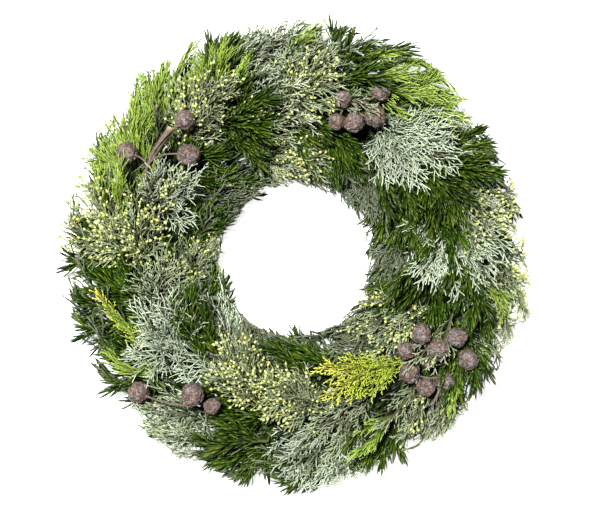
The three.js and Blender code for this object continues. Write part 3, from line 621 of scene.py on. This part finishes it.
# ---- Geometry Nodes ----
class Nodes:
    """A tree of nodes, built node by node."""

    def link(self, source, target):
        """Links a socket, or a node's first output, to an input."""
        self.tree.links.new(source.outputs[0] if isinstance(source, bpy.types.Node) else source, target)

    def node(self, kind, inputs=None, **settings):
        """Adds a node. Its inputs go by name or number, and are values, sockets or other nodes."""
        made = self.tree.nodes.new(kind)
        for key, value in settings.items():
            setattr(made, key, value)
        for key, value in (inputs or {}).items():
            if isinstance(value, (bpy.types.Node, bpy.types.NodeSocket)):
                self.link(value, made.inputs[key])
            else:
                made.inputs[key].default_value = value
        return made

    def maths(self, operation, *terms):
        """Arithmetic on numbers, sockets and nodes."""
        return self.node("ShaderNodeMath", dict(enumerate(terms)), operation=operation)

    def mapped(self, value, low, high, to_low, to_high, **settings):
        """A value carried over from between two ends to between two others, and held there."""
        ends = {"From Min": low, "From Max": high, "To Min": to_low, "To Max": to_high}
        return self.node("ShaderNodeMapRange", {"Value": value, **ends}, **settings)


class Tree(Nodes):
    """A Geometry Nodes tree with named inputs for its sizes and its material."""

    def __init__(self, name, inputs):
        self.tree = bpy.data.node_groups.new(name, "GeometryNodeTree")
        sockets = self.tree.interface
        for way in ("INPUT", "OUTPUT"):
            sockets.new_socket("Geometry", in_out=way, socket_type="NodeSocketGeometry")
        for title, kind, value in inputs:
            sockets.new_socket(title, in_out="INPUT", socket_type="NodeSocket" + kind).default_value = value
        sockets.new_socket("Material", in_out="INPUT", socket_type="NodeSocketMaterial")
        self.given = self.tree.nodes.new("NodeGroupInput").outputs
        self.result = self.tree.nodes.new("NodeGroupOutput")

    def named(self, name, data_type="FLOAT"):
        """A named attribute of the geometry."""
        made = self.node("GeometryNodeInputNamedAttribute", {"Name": name}, data_type=data_type)
        return made.outputs["Attribute"]

    def stored(self, geometry, name, value, domain="POINT", data_type="FLOAT"):
        """The geometry with a value kept on it under a name."""
        inputs = {"Geometry": geometry, "Name": name, "Value": value}
        return self.node("GeometryNodeStoreNamedAttribute", inputs, data_type=data_type, domain=domain)

    def chance(self, low, high, seed):
        """A random number between two others."""
        return self.node("FunctionNodeRandomValue", {2: low, 3: high, "Seed": seed}).outputs[1]

    def place(self):
        """Where a point lies: its three coordinates."""
        return self.node("ShaderNodeSeparateXYZ", {0: self.node("GeometryNodeInputPosition")}).outputs

    def aimed(self):
        """The turn that lays Z along the line that a point is on."""
        aim = self.named("aim", "FLOAT_VECTOR")
        return self.node("FunctionNodeAlignRotationToVector", {"Vector": aim}, axis="Z")

    def sprouting(self):
        """Whether a point is marked as having a bud or needles."""
        return self.node("FunctionNodeCompare", {0: self.named("sprout"), 1: 0.5}, operation="GREATER_THAN")

    def end(self, *parts):
        """Joins parts, makes instances real, sets the material and closes the tree."""
        both = self.node("GeometryNodeJoinGeometry")
        for part in parts:
            self.link(part, both.inputs[0])
        smooth = self.node("GeometryNodeSetShadeSmooth", {0: both})
        real = self.node("GeometryNodeRealizeInstances", {"Geometry": smooth})
        material = self.given["Material"]
        coloured = self.node("GeometryNodeSetMaterial", {"Geometry": real, "Material": material})
        self.link(coloured, self.result.inputs[0])
        return self.tree


def swept(tree, sides):
    """The lines as curves, and a round section swept along them, as thick as their points say."""
    curve = tree.node("GeometryNodeMeshToCurve", {"Mesh": tree.given["Geometry"]})
    section = tree.node("GeometryNodeCurvePrimitiveCircle", {"Resolution": sides, "Radius": 1.0})
    tube = tree.node("GeometryNodeCurveToMesh", {
        "Curve": curve, "Profile Curve": section, "Scale": tree.named("thick"), "Fill Caps": True})
    return curve, tube


def twig_tree():
    """Twigs along the lines, and buds at the points that have one."""
    tree = Tree("Twigs and buds", [("Sides", "Int", 3), ("Bud size", "Float", BUD_SIZE)])
    _, tube = swept(tree, tree.given["Sides"])
    size = tree.given["Bud size"]
    ball = tree.node("GeometryNodeMeshUVSphere", {"Radius": size, "Segments": 5, "Rings": 2})
    oval = tree.node("GeometryNodeTransform", {"Geometry": ball, "Scale": (1, 1, BUD_OVAL)})
    buds = tree.node("GeometryNodeInstanceOnPoints", {
        "Points": tree.given["Geometry"], "Instance": oval, "Selection": tree.sprouting(),
        "Rotation": tree.aimed(), "Scale": tree.chance(*BUD_VARIETY, 3)})
    return tree.end(tube, buds)


def needle_tree():
    """Needles all round the lines, each turned by the golden angle, and closing at the tip."""
    sizes = [(key.capitalize(), "Float", NEEDLE[key] * MM) for key in ("step", "length", "width")]
    tree = Tree("Fir needles", sizes + [("Lean", "Float", math.radians(NEEDLE["lean"])), ("Seed", "Int", 7)])
    seed = tree.given["Seed"]
    curve, tube = swept(tree, 5)
    curve = tree.stored(curve, "along", tree.node("GeometryNodeSplineParameter"))
    step = tree.given["Step"]
    spots = tree.node("GeometryNodeCurveToPoints", {"Curve": curve, "Length": step}, mode="LENGTH")
    golden = tree.maths("MULTIPLY", tree.node("GeometryNodeInputIndex"), GOLDEN_ANGLE)
    closing = tree.mapped(tree.named("along"), CLOSING_FROM, 1.0, 1.0, CLOSED)
    lean = tree.maths("MULTIPLY", tree.given["Lean"], tree.chance(*LEAN_VARIETY, seed))
    lean = tree.maths("MULTIPLY", lean, closing)
    turn = tree.aimed()
    for angle, axis in ((golden, (0, 0, 1)), (lean, (1, 0, 0))):
        more = tree.node("FunctionNodeAxisAngleToRotation", {"Angle": angle, "Axis": axis})
        turn = tree.node("FunctionNodeRotateRotation", {0: turn, 1: more}, rotation_space="LOCAL")
    needles = tree.node("GeometryNodeInstanceOnPoints", {
        "Points": spots, "Instance": needle_blade(tree), "Selection": tree.sprouting(), "Rotation": turn,
        "Scale": tree.chance(*NEEDLE_VARIETY, seed)})
    needles = tree.stored(needles, "tone", tree.chance(0.0, 1.0, seed), "INSTANCE")
    for name in ("age", "wood", "sprout"):
        needles = tree.stored(needles, name, 0.0, "INSTANCE")
    real = tree.node("GeometryNodeRealizeInstances", {"Geometry": needles})
    return tree.end(tube, raised(tree, real))


def needle_blade(tree):
    """One needle: a flat, curved, three-sided blade along Z, narrow at its foot and widest near its point."""
    cone = tree.node("GeometryNodeMeshCone", {
        "Vertices": 3, "Side Segments": 2, "Radius Top": 0.0, "Radius Bottom": 1.0, "Depth": 1.0})
    x, y, z = tree.place()
    middle = tree.node("FunctionNodeCompare", {0: z, 1: 0.5, "Epsilon": 0.1}, operation="EQUAL")
    # The cone's own middle is half as wide as its foot, so twice its width is the needle's whole width.
    wide = tree.node("GeometryNodeSwitch", {0: middle, 1: NEEDLE["foot"], 2: 2.0}, input_type="FLOAT")
    wide = tree.maths("MULTIPLY", wide, tree.given["Width"])
    length = tree.given["Length"]
    tall = tree.node("GeometryNodeSwitch", {0: middle, 1: z, 2: NEEDLE["widest"]}, input_type="FLOAT")
    across = tree.maths("MULTIPLY", x, wide)
    deep = tree.maths("MULTIPLY", y, tree.maths("MULTIPLY", wide, NEEDLE["flatness"]))
    bow = tree.maths("MULTIPLY", tree.maths("POWER", tall, 2.0), length)
    deep = tree.maths("MULTIPLY_ADD", bow, NEEDLE["bow"], deep)
    target = tree.node("ShaderNodeCombineXYZ", {0: across, 1: deep, 2: tree.maths("MULTIPLY", tall, length)})
    return tree.node("GeometryNodeSetPosition", {"Geometry": cone, "Position": target})


def raised(tree, geometry):
    """The same geometry with what would dip into the floor pressed up smoothly."""
    x, y, z = tree.place()
    height = tree.maths("SUBTRACT", z, FLOOR_REST)
    root = tree.maths("SQRT", tree.maths("MULTIPLY_ADD", height, height, FLOOR_SOFTNESS ** 2))
    up = tree.maths("MULTIPLY_ADD", tree.maths("ADD", root, height), 0.5, FLOOR_REST)
    target = tree.node("ShaderNodeCombineXYZ", {0: x, 1: y, 2: up})
    return tree.node("GeometryNodeSetPosition", {"Geometry": geometry, "Position": target})


def cone_tree():
    """Round seed cones at points, each with shield-shaped scales of its own, raised to a blunt point."""
    vector = "FLOAT_VECTOR"
    tree = Tree("Seed cones", [
        ("Detail", "Int", 4), ("Scales", "Float", 1.6), ("Groove", "Float", 0.11), ("Point", "Float", 0.07)])
    ball = tree.node("GeometryNodeMeshIcoSphere", {"Subdivisions": tree.given["Detail"], "Radius": 1.0})
    ball = tree.stored(ball, "shell", tree.node("GeometryNodeInputPosition"), data_type=vector)
    spin, own = [tree.node("FunctionNodeRandomValue", {0: (0, 0, 0), 1: (most,) * 3, "Seed": seed},
                           data_type=vector) for most, seed in ((CONE_TURNS, 5), (CONE_PLACES, 9))]
    cones = tree.node("GeometryNodeInstanceOnPoints", {
        "Points": tree.given["Geometry"], "Instance": ball, "Scale": tree.named("size", vector),
        "Rotation": tree.node("FunctionNodeEulerToRotation", {0: spin})})
    cones = tree.stored(cones, "own", own, "INSTANCE", vector)
    cones = tree.node("GeometryNodeRealizeInstances", {"Geometry": cones})
    shell, shift = tree.named("shell", vector), tree.named("own", vector)
    pattern = tree.node("ShaderNodeVectorMath", {0: shell, 1: shift}, operation="ADD")
    edge, near = [tree.node("ShaderNodeTexVoronoi",
                            {"Vector": pattern, "Scale": tree.given["Scales"], "Randomness": 0.75},
                            feature=feature).outputs["Distance"] for feature in ("DISTANCE_TO_EDGE", "F1")]
    plate = tree.mapped(edge, 0.0, 0.1, 0.0, 1.0, interpolation_type="SMOOTHSTEP")
    spike = tree.mapped(near, 0.3, 0.04, 0.0, 1.0, interpolation_type="SMOOTHSTEP")
    wrinkle = tree.node("ShaderNodeTexNoise", {"Vector": pattern, "Scale": 1.5, "Detail": 5.0})
    rise = tree.maths("MULTIPLY", plate, tree.given["Groove"])
    for part, weight in ((spike, tree.given["Point"]), (wrinkle, CONE_WRINKLE)):
        rise = tree.maths("ADD", rise, tree.maths("MULTIPLY", part, weight))
    span = tree.node("ShaderNodeVectorMath", {0: tree.named("reach", vector)}, operation="LENGTH")
    height = tree.maths("MULTIPLY", tree.maths("SUBTRACT", rise, CONE_LEVEL), span.outputs["Value"])
    shift = tree.node("ShaderNodeVectorMath", {0: tree.node("GeometryNodeInputNormal"), "Scale": height},
                      operation="SCALE")
    cones = tree.node("GeometryNodeSetPosition", {"Geometry": cones, "Offset": shift})
    for name, value in (("plate", plate), ("spike", spike)):
        cones = tree.stored(cones, name, value)
    return tree.end(cones)


def grown(name, mesh, group, inputs):
    """A plain mesh object: what a tree makes of a mesh, with the modifier applied."""
    source = bpy.data.objects.new(name + ".lines", mesh)
    bpy.context.scene.collection.objects.link(source)
    modifier = source.modifiers.new(group.name, "NODES")
    modifier.node_group = group
    for item in group.interface.items_tree:
        if item.in_out == "INPUT" and item.name in inputs:
            modifier[item.identifier] = inputs[item.name]
    depsgraph = bpy.context.evaluated_depsgraph_get()
    made = bpy.data.meshes.new_from_object(source.evaluated_get(depsgraph))
    bpy.data.objects.remove(source)
    made.name = name
    piece = bpy.data.objects.new(name, made)
    bpy.context.scene.collection.objects.link(piece)
    return piece


# ---- Materials ----
# Each kind's finish: its name, its colour on dark, middling and light twigs, that of its bark, that of its
# twigs' tips, its roughness and the share of its colour that painted shade leaves. Needles are of one colour
# up to their points.
LEAVES = {
    "fir": ("Noble fir needles", (62, 114, 10), (120, 176, 28), (180, 220, 74), (84, 98, 44), None, 0.34),
    "silver": ("Silver cypress", (80, 99, 66), (138, 155, 119), (206, 217, 190), (106, 100, 74),
               (216, 226, 202)),
    "grey": ("Grey cypress", (84, 100, 64), (124, 140, 98), (180, 190, 156), (98, 90, 64), (184, 194, 158)),
    "budded": ("Budded cypress", (78, 94, 60), (116, 132, 94), (166, 177, 142), (98, 86, 58),
               (180, 190, 146)),
    "lime": ("Lime cypress", (62, 98, 12), (104, 138, 28), (160, 184, 76), (110, 118, 52), (180, 202, 94)),
    "gold": ("Golden cypress", (92, 140, 32), (156, 186, 44), (230, 226, 84), (130, 120, 50), (232, 228, 92)),
}
# Darker copies of the fir and grey finishes: painted shade for the fillings low down and for the grey sprays
# deep inside.
PAINTED_SHADE_LEAVES = {
    "fir": ("Fir needles in painted shade", (56, 106, 10), (108, 164, 26), (160, 204, 66), (84, 98, 44), None,
            0.5, 0.7),
    "grey": ("Grey cypress in painted shade", (94, 110, 76), (130, 146, 106), (170, 181, 146), (98, 90, 64),
             (168, 180, 140), 0.5, 0.72),
}
YOUNG_BUD = (186, 198, 126)
RIPE_BUD = (174, 170, 88)
# The tint at the twigs' feet: partly older growth, partly painted shade deep in the foliage.
AGE_AND_SHADE_TINT = (126, 124, 108)
WHITE = (255, 255, 255)


class Shader(Nodes):
    """A material whose colour and bump are worked out from nodes."""

    def __init__(self, name, roughness, **values):
        self.material = bpy.data.materials.new(name)
        self.material.use_nodes = True
        self.tree = self.material.node_tree
        self.surface = self.tree.nodes["Principled BSDF"].inputs
        self.surface["Roughness"].default_value = roughness
        for key, value in values.items():
            self.surface[key.replace("_", " ")].default_value = value
        self.place = self.tree.nodes.new("ShaderNodeTexCoord").outputs["Object"]

    def noise(self, scale, detail=3.0):
        """Noise on the piece's own coordinates."""
        return self.node("ShaderNodeTexNoise", {"Vector": self.place, "Scale": scale, "Detail": detail})

    def given(self, name):
        """A value that the mesh carries."""
        return self.node("ShaderNodeAttribute", attribute_name=name).outputs["Fac"]

    def ramp(self, value, *stops):
        """A colour by a value, from stops that each have a place and a colour of 0 to 255."""
        made = self.node("ShaderNodeValToRGB", {0: value})
        elements = made.color_ramp.elements
        while len(elements) < len(stops):
            elements.new(0.5)
        for element, (place, colour) in zip(elements, stops):
            element.position = place
            element.color = (*linear(colour), 1)
        return made

    def mix(self, share, one, other, kind="MIX"):
        """Two colours mixed. Each is a node, a socket or a colour of 0 to 255."""
        one, other = [(*linear(c), 1) if isinstance(c, tuple) else c for c in (one, other)]
        made = self.node("ShaderNodeMix", {0: share, 6: one, 7: other}, data_type="RGBA", blend_type=kind)
        return made.outputs[2]

    def finish(self, colour, bump, strength, depth):
        """Closes the material with its colour, and a bump of a strength and depth."""
        self.link(colour, self.surface["Base Color"])
        made = self.node("ShaderNodeBump", {"Height": bump, "Strength": strength, "Distance": depth})
        self.link(made, self.surface["Normal"])
        return self.material


def linear(colour):
    """A colour of 0 to 255 as light."""
    return tuple(c / 3294.6 if c <= 10.3 else ((c / 255 + 0.055) / 1.055) ** 2.4 for c in colour)


def foliage_material(name, dark, middle, light, bark, tip=None, roughness=0.5, shade=1.0):
    """Leaf colours that vary by twig, from place to place and with age, over a brown woody stem. Painted
    shade darkens the twigs' feet, which are older too, and may darken the whole finish.
    """
    shader = Shader(name, roughness, Specular_IOR_Level=0.4)
    leaf = shader.ramp(shader.given("tone"), (0.0, dark), (0.5, middle), (1.0, light))
    patches = shader.ramp(shader.noise(22.0), (0.35, (186, 186, 186)), (0.65, WHITE))
    leaf = shader.mix(1.0, leaf, patches, "MULTIPLY")
    age = shader.given("age")
    if tip:
        leaf = shader.mix(shader.mapped(age, 0.55, 1.0, 0.0, 0.65), leaf, tip)
    bud = shader.ramp(shader.noise(90.0), (0.4, YOUNG_BUD), (0.62, RIPE_BUD))
    leaf = shader.mix(shader.given("sprout"), leaf, bud)
    # Darker towards the twigs' feet and on every needle: partly the colour of older growth, partly painted
    # shade.
    leaf = shader.mix(1.0, leaf, shader.ramp(age, (0.1, AGE_AND_SHADE_TINT), (0.7, WHITE)), "MULTIPLY")
    wood = shader.mix(shader.noise(420.0), bark, tuple(0.55 * c for c in bark))
    colour = shader.mix(shader.given("wood"), leaf, wood)
    # The whole finish darkened by a share, as painted shade.
    colour = shader.mix(1.0, colour, (255 * shade,) * 3, "MULTIPLY")
    return shader.finish(colour, shader.noise(900.0, 2.0), 0.35, 0.6 * MM)


def cone_material():
    """Grey-brown woody scales, mottled with pale dust and ochre, with darker joints between them."""
    shader = Shader("Cone scales", 0.7, Specular_IOR_Level=0.35)
    wood = shader.ramp(shader.noise(420.0, 8.0), (0.34, (64, 54, 51)), (0.5, (104, 92, 88)),
                       (0.68, (150, 138, 134)))
    warm = shader.ramp(shader.noise(80.0), (0.45, WHITE), (0.62, (240, 214, 188)))
    wood = shader.mix(1.0, wood, warm, "MULTIPLY")
    joint = shader.mix(0.3, (44, 34, 27), wood)
    colour = shader.mix(shader.given("plate"), joint, wood)
    colour = shader.mix(shader.maths("MULTIPLY", shader.given("spike"), 0.3), colour, (176, 160, 152))
    return shader.finish(colour, shader.noise(520.0, 8.0), 0.9, 1.8 * MM)


def bark_material():
    """Grey-brown bark, with the pale wood of a cut end."""
    shader = Shader("Twig bark", 0.75, Specular_IOR_Level=0.35)
    bark = shader.ramp(shader.noise(260.0, 6.0), (0.3, (70, 59, 50)), (0.55, (102, 89, 77)),
                       (0.8, (134, 121, 106)))
    cut = shader.mix(shader.noise(500.0), (174, 152, 116), (150, 126, 92))
    colour = shader.mix(shader.given("sprout"), bark, cut)
    return shader.finish(colour, shader.noise(600.0, 5.0), 0.6, 1 * MM)


def wire_material():
    """Dark green enamel over wire, slightly uneven."""
    shader = Shader("Green enamelled wire", 0.42, Coat_Weight=0.3)
    colour = shader.ramp(shader.noise(140.0, 4.0), (0.35, (34, 48, 30)), (0.7, (58, 74, 50)))
    return shader.finish(colour, shader.noise(380.0), 0.3, 0.4 * MM)


# ---- Pieces ----
def all_sprays():
    """Every spray with its node's name, its seat, its stems and what it holds."""
    for number, (clock, sprays) in enumerate(BUNCHES, start=1):
        for i, (kind, *tips) in enumerate(sprays):
            coned = kind == "cones"
            edge = not coned and i in (0, len(sprays) - 1)
            spray = {
                "name": f"bunch_{number:02d}_{kind}_{i + 1}", "kind": kind, "clock": clock,
                "seat": stem_seat(i, len(sprays)), "tips": tips[:1] if coned else tips,
                "cones": tips[1:] if coned else [], "level": EDGE_LEVEL if edge else 1.0,
                "seed": 100 * number + i,
            }
            main, *forks = framed_stems(spray)
            butt = main[0] - onward(main[0]) * (PRONG_END + BUTT_LENGTH)
            spray["stems"] = [np.concatenate([[butt], main])] + forks
            yield spray


def placed(piece, spray):
    """Hangs a finished piece on the root body and hides the spray's node that it stands for."""
    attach(piece, "root")
    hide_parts(spray["name"])


def cone_branch(spray, trees, materials):
    """A woody branch with a stalk to each cone, and the cones themselves."""
    random = np.random.default_rng(spray["seed"])
    lines = Lines()
    main = spray["stems"][0]
    add_stem(lines, main, STEM_WIRE, STEM_TIP, random)
    centres = [at(c, r * MM, crest(r * MM) - CONE_SINK) for c, r, _ in spray["cones"]]
    for centre in centres:
        nearest = max(6, np.linalg.norm(main - centre, axis=1).argmin() - 5)
        root, along = main[nearest], unit(main[nearest + 1] - main[nearest])
        span = np.linalg.norm(centre - root)
        t = np.linspace(0, 1, 13)[:, None]
        stalk = (1 - t) ** 2 * root + 2 * (1 - t) * t * (root + 0.5 * span * along) + t * t * centre
        lines.add(stalk[None], CONE_STALK, random.random(), 0.0, wood=1.0)
    if spray["clock"] == STUB["bunch"]:
        end = at(STUB["clock"], STUB["radius"] * MM, STUB["height"])
        t = np.linspace(0, 1, 9)[:, None]
        stub = main[-1] + (end - main[-1]) * t
        lines.add(stub[None], STUB["thickness"], 0.5, 0.0, wood=1.0, sprout=(t[:, 0] == 1).astype(float))
    # The cut end is marked as a bud's place is, for its colour, so buds are too small here to be seen.
    branch = grown(spray["name"].replace("cones", "branch"), lines.mesh("branch"), trees["twigs"],
                   {"Sides": WOOD_SIDES, "Material": materials["bark"], "Bud size": 0.1 * MM})
    placed(branch, spray)
    mesh = bpy.data.meshes.new("cone points")
    mesh.from_pydata([tuple(c) for c in centres], [], [])
    sizes = np.array([[r * MM * s for s in (1.0, 1.0, CONE_FLATNESS)] for _, _, r in spray["cones"]])
    mark(mesh, "size", sizes)
    mark(mesh, "reach", sizes / math.sqrt(3))
    balls = grown(spray["name"] + "_scales", mesh, trees["cones"], {"Material": materials["cones"]})
    placed(balls, spray)


def clamp_ring(sweep, material):
    """The round wire ring and its welded prongs."""
    lines = Lines()
    turn = np.linspace(0, 360, 181)[:-1]
    hoop = np.array([at(c, RING_RADIUS, RING_HEIGHT + RING_LIFT) for c in turn])
    lines.add(hoop[None], RING_WIRE, 0.5, 0.0)
    lines.edges.append(np.array([[len(hoop) - 1, 0]]))
    for clock, sprays in BUNCHES:
        seats = [stem_seat(i, len(sprays)) for i in range(len(sprays))]
        top = max(height for _, height in seats) + STEM_WIRE + STEM_GAP + PRONG_WIRE
        out = max(across for across, _ in seats) + STEM_WIRE + 1.6 * STEM_GAP + PRONG_WIRE
        half = [(out, RING_HEIGHT), (out, top), (PRONG_MEETING, top + PRONG_ARCH)]
        corners = [(-a, h) for a, h in reversed(half)] + half
        points = np.array([at(clock, RING_RADIUS + a, h) for a, h in corners])
        lines.add(points[None], PRONG_WIRE, 0.5, 0.0)
    ring = grown("clamp_ring_wire", lines.mesh("ring"), sweep,
                 {"Sides": WOOD_SIDES, "Material": material, "Bud size": 0.0})
    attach(ring, "root")
    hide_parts("clamp_ring")


def foliage(name, kind, stems, seed, trees, materials, sparse=1.0, narrow=1.0, bare=ROOT_BARE):
    """One piece of foliage. Where it is sparse, what it has stands farther apart and is thicker."""
    random = np.random.default_rng(seed)
    lines = Lines()
    thicker = sparse ** 0.5
    if kind == "fir":
        fir(stems, lines, random, sparse, bare)
        return grown(name, lines.mesh("lines"), trees["needles"], {
            "Material": materials[kind], "Seed": seed, "Step": NEEDLE["step"] * MM * sparse,
            "Width": NEEDLE["width"] * MM * thicker})
    rows = {key: (row[0] * sparse, row[1] * narrow, row[2] * narrow, *row[3:5], row[5] * thicker)
            for key, row in CYPRESS[kind]["rows"].items()}
    cypress(stems, lines, random, {**CYPRESS[kind], **rows}, bare)
    return grown(name, lines.mesh("lines"), trees["twigs"], {"Material": materials[kind]})


def wreath():
    """All the pieces of the wreath."""
    trees = {"twigs": twig_tree(), "needles": needle_tree(), "cones": cone_tree()}
    materials = {kind: foliage_material(*row) for kind, row in LEAVES.items()}
    materials.update(cones=cone_material(), bark=bark_material())
    shaded = {kind: foliage_material(*row) for kind, row in PAINTED_SHADE_LEAVES.items()}
    for spray in all_sprays():
        kind = spray["kind"]
        if kind == "cones":
            cone_branch(spray, trees, materials)
            continue
        stems, slender = spray["stems"], spray["name"] in SLENDER
        if not slender:
            random = np.random.default_rng(spray["seed"])
            stems = stems + list(sisters_of(stems, kind, 2 * MM, random))
        # Deep grey sprays take the darker finish, as painted shade.
        deep = kind == "grey" and spray["tips"][0][1] < DEEP
        piece = foliage(spray["name"] + "_foliage", kind, stems, spray["seed"], trees,
                        shaded if deep else materials, narrow=NARROW if slender else 1.0)
        placed(piece, spray)
    for number, (clock, _) in enumerate(BUNCHES, start=1):
        for kind in FILLING:
            stems = list(filling(clock, kind, np.random.default_rng(number)))
            # The fillings take the darker finishes, as painted shade.
            piece = foliage(f"bunch_{number:02d}_{kind}_filling", kind, stems, number, trees, shaded,
                            FILLING_SPARSE[kind])
            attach(piece, "root")
    for number, (kind, root, tip, radius, heights) in enumerate(SPRIGS, start=1):
        stem = sprig(root, tip, radius, *heights)
        piece = foliage(f"sprig_{number}_{kind}", kind, [stem], number, trees, materials, narrow=SPRIG_NARROW,
                        bare=FORK_BARE)
        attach(piece, "root")
    clamp_ring(trees["twigs"], wire_material())


# ---- Floor, light and camera ----
FLOOR_HALF = 9
FLOOR_GLOW = 0.82
SKY_LIGHT = 0.03
# The lamps: where each stands, how wide it is and its power in watts.
LAMPS = {"Key": ((-0.65, 0.78, 3.8), 0.45, 408), "Fill": ((1.2, -0.9, 1.6), 1.2, 2)}
CAMERA_LENS = 85
CAMERA_HEIGHT = 1.84


def studio():
    """A pale floor, soft light from all round, a soft key light and a camera straight above."""
    scene = bpy.context.scene
    shader = Shader("Pale floor", 0.9, Emission_Color=(1, 1, 1, 1), Emission_Strength=FLOOR_GLOW)
    colour = shader.ramp(shader.noise(3.0), (0.0, (244, 244, 243)), (1.0, (250, 250, 249)))
    material = shader.finish(colour, shader.noise(400.0), 0.02, 0.5 * MM)
    mesh = bpy.data.meshes.new("Floor")
    corners = [(x * FLOOR_HALF, y * FLOOR_HALF, 0) for x, y in ((-1, -1), (1, -1), (1, 1), (-1, 1))]
    mesh.from_pydata(corners, [], [(0, 1, 2, 3)])
    mesh.materials.append(material)
    floor = bpy.data.objects.new("Floor", mesh)
    scene.collection.objects.link(floor)

    world = bpy.data.worlds.new("Studio")
    world.use_nodes = True
    sky = world.node_tree.nodes["Background"].inputs
    sky["Color"].default_value = (1, 1, 1, 1)
    sky["Strength"].default_value = SKY_LIGHT
    scene.world = world
    for name, (place, size, power) in LAMPS.items():
        lamp = bpy.data.lights.new(name, "AREA")
        lamp.size, lamp.energy = size, power
        light = bpy.data.objects.new(name, lamp)
        light.location = place
        light.rotation_euler = (-Vector(place)).to_track_quat("-Z", "Y").to_euler()
        scene.collection.objects.link(light)

    data = bpy.data.cameras.new("Camera")
    data.lens = CAMERA_LENS
    camera = bpy.data.objects.new("Camera", data)
    camera.location = (CENTRE[0], CENTRE[1], CAMERA_HEIGHT)
    scene.collection.objects.link(camera)
    scene.camera = camera
    scene.view_settings.view_transform = "Standard"


wreath()
studio()
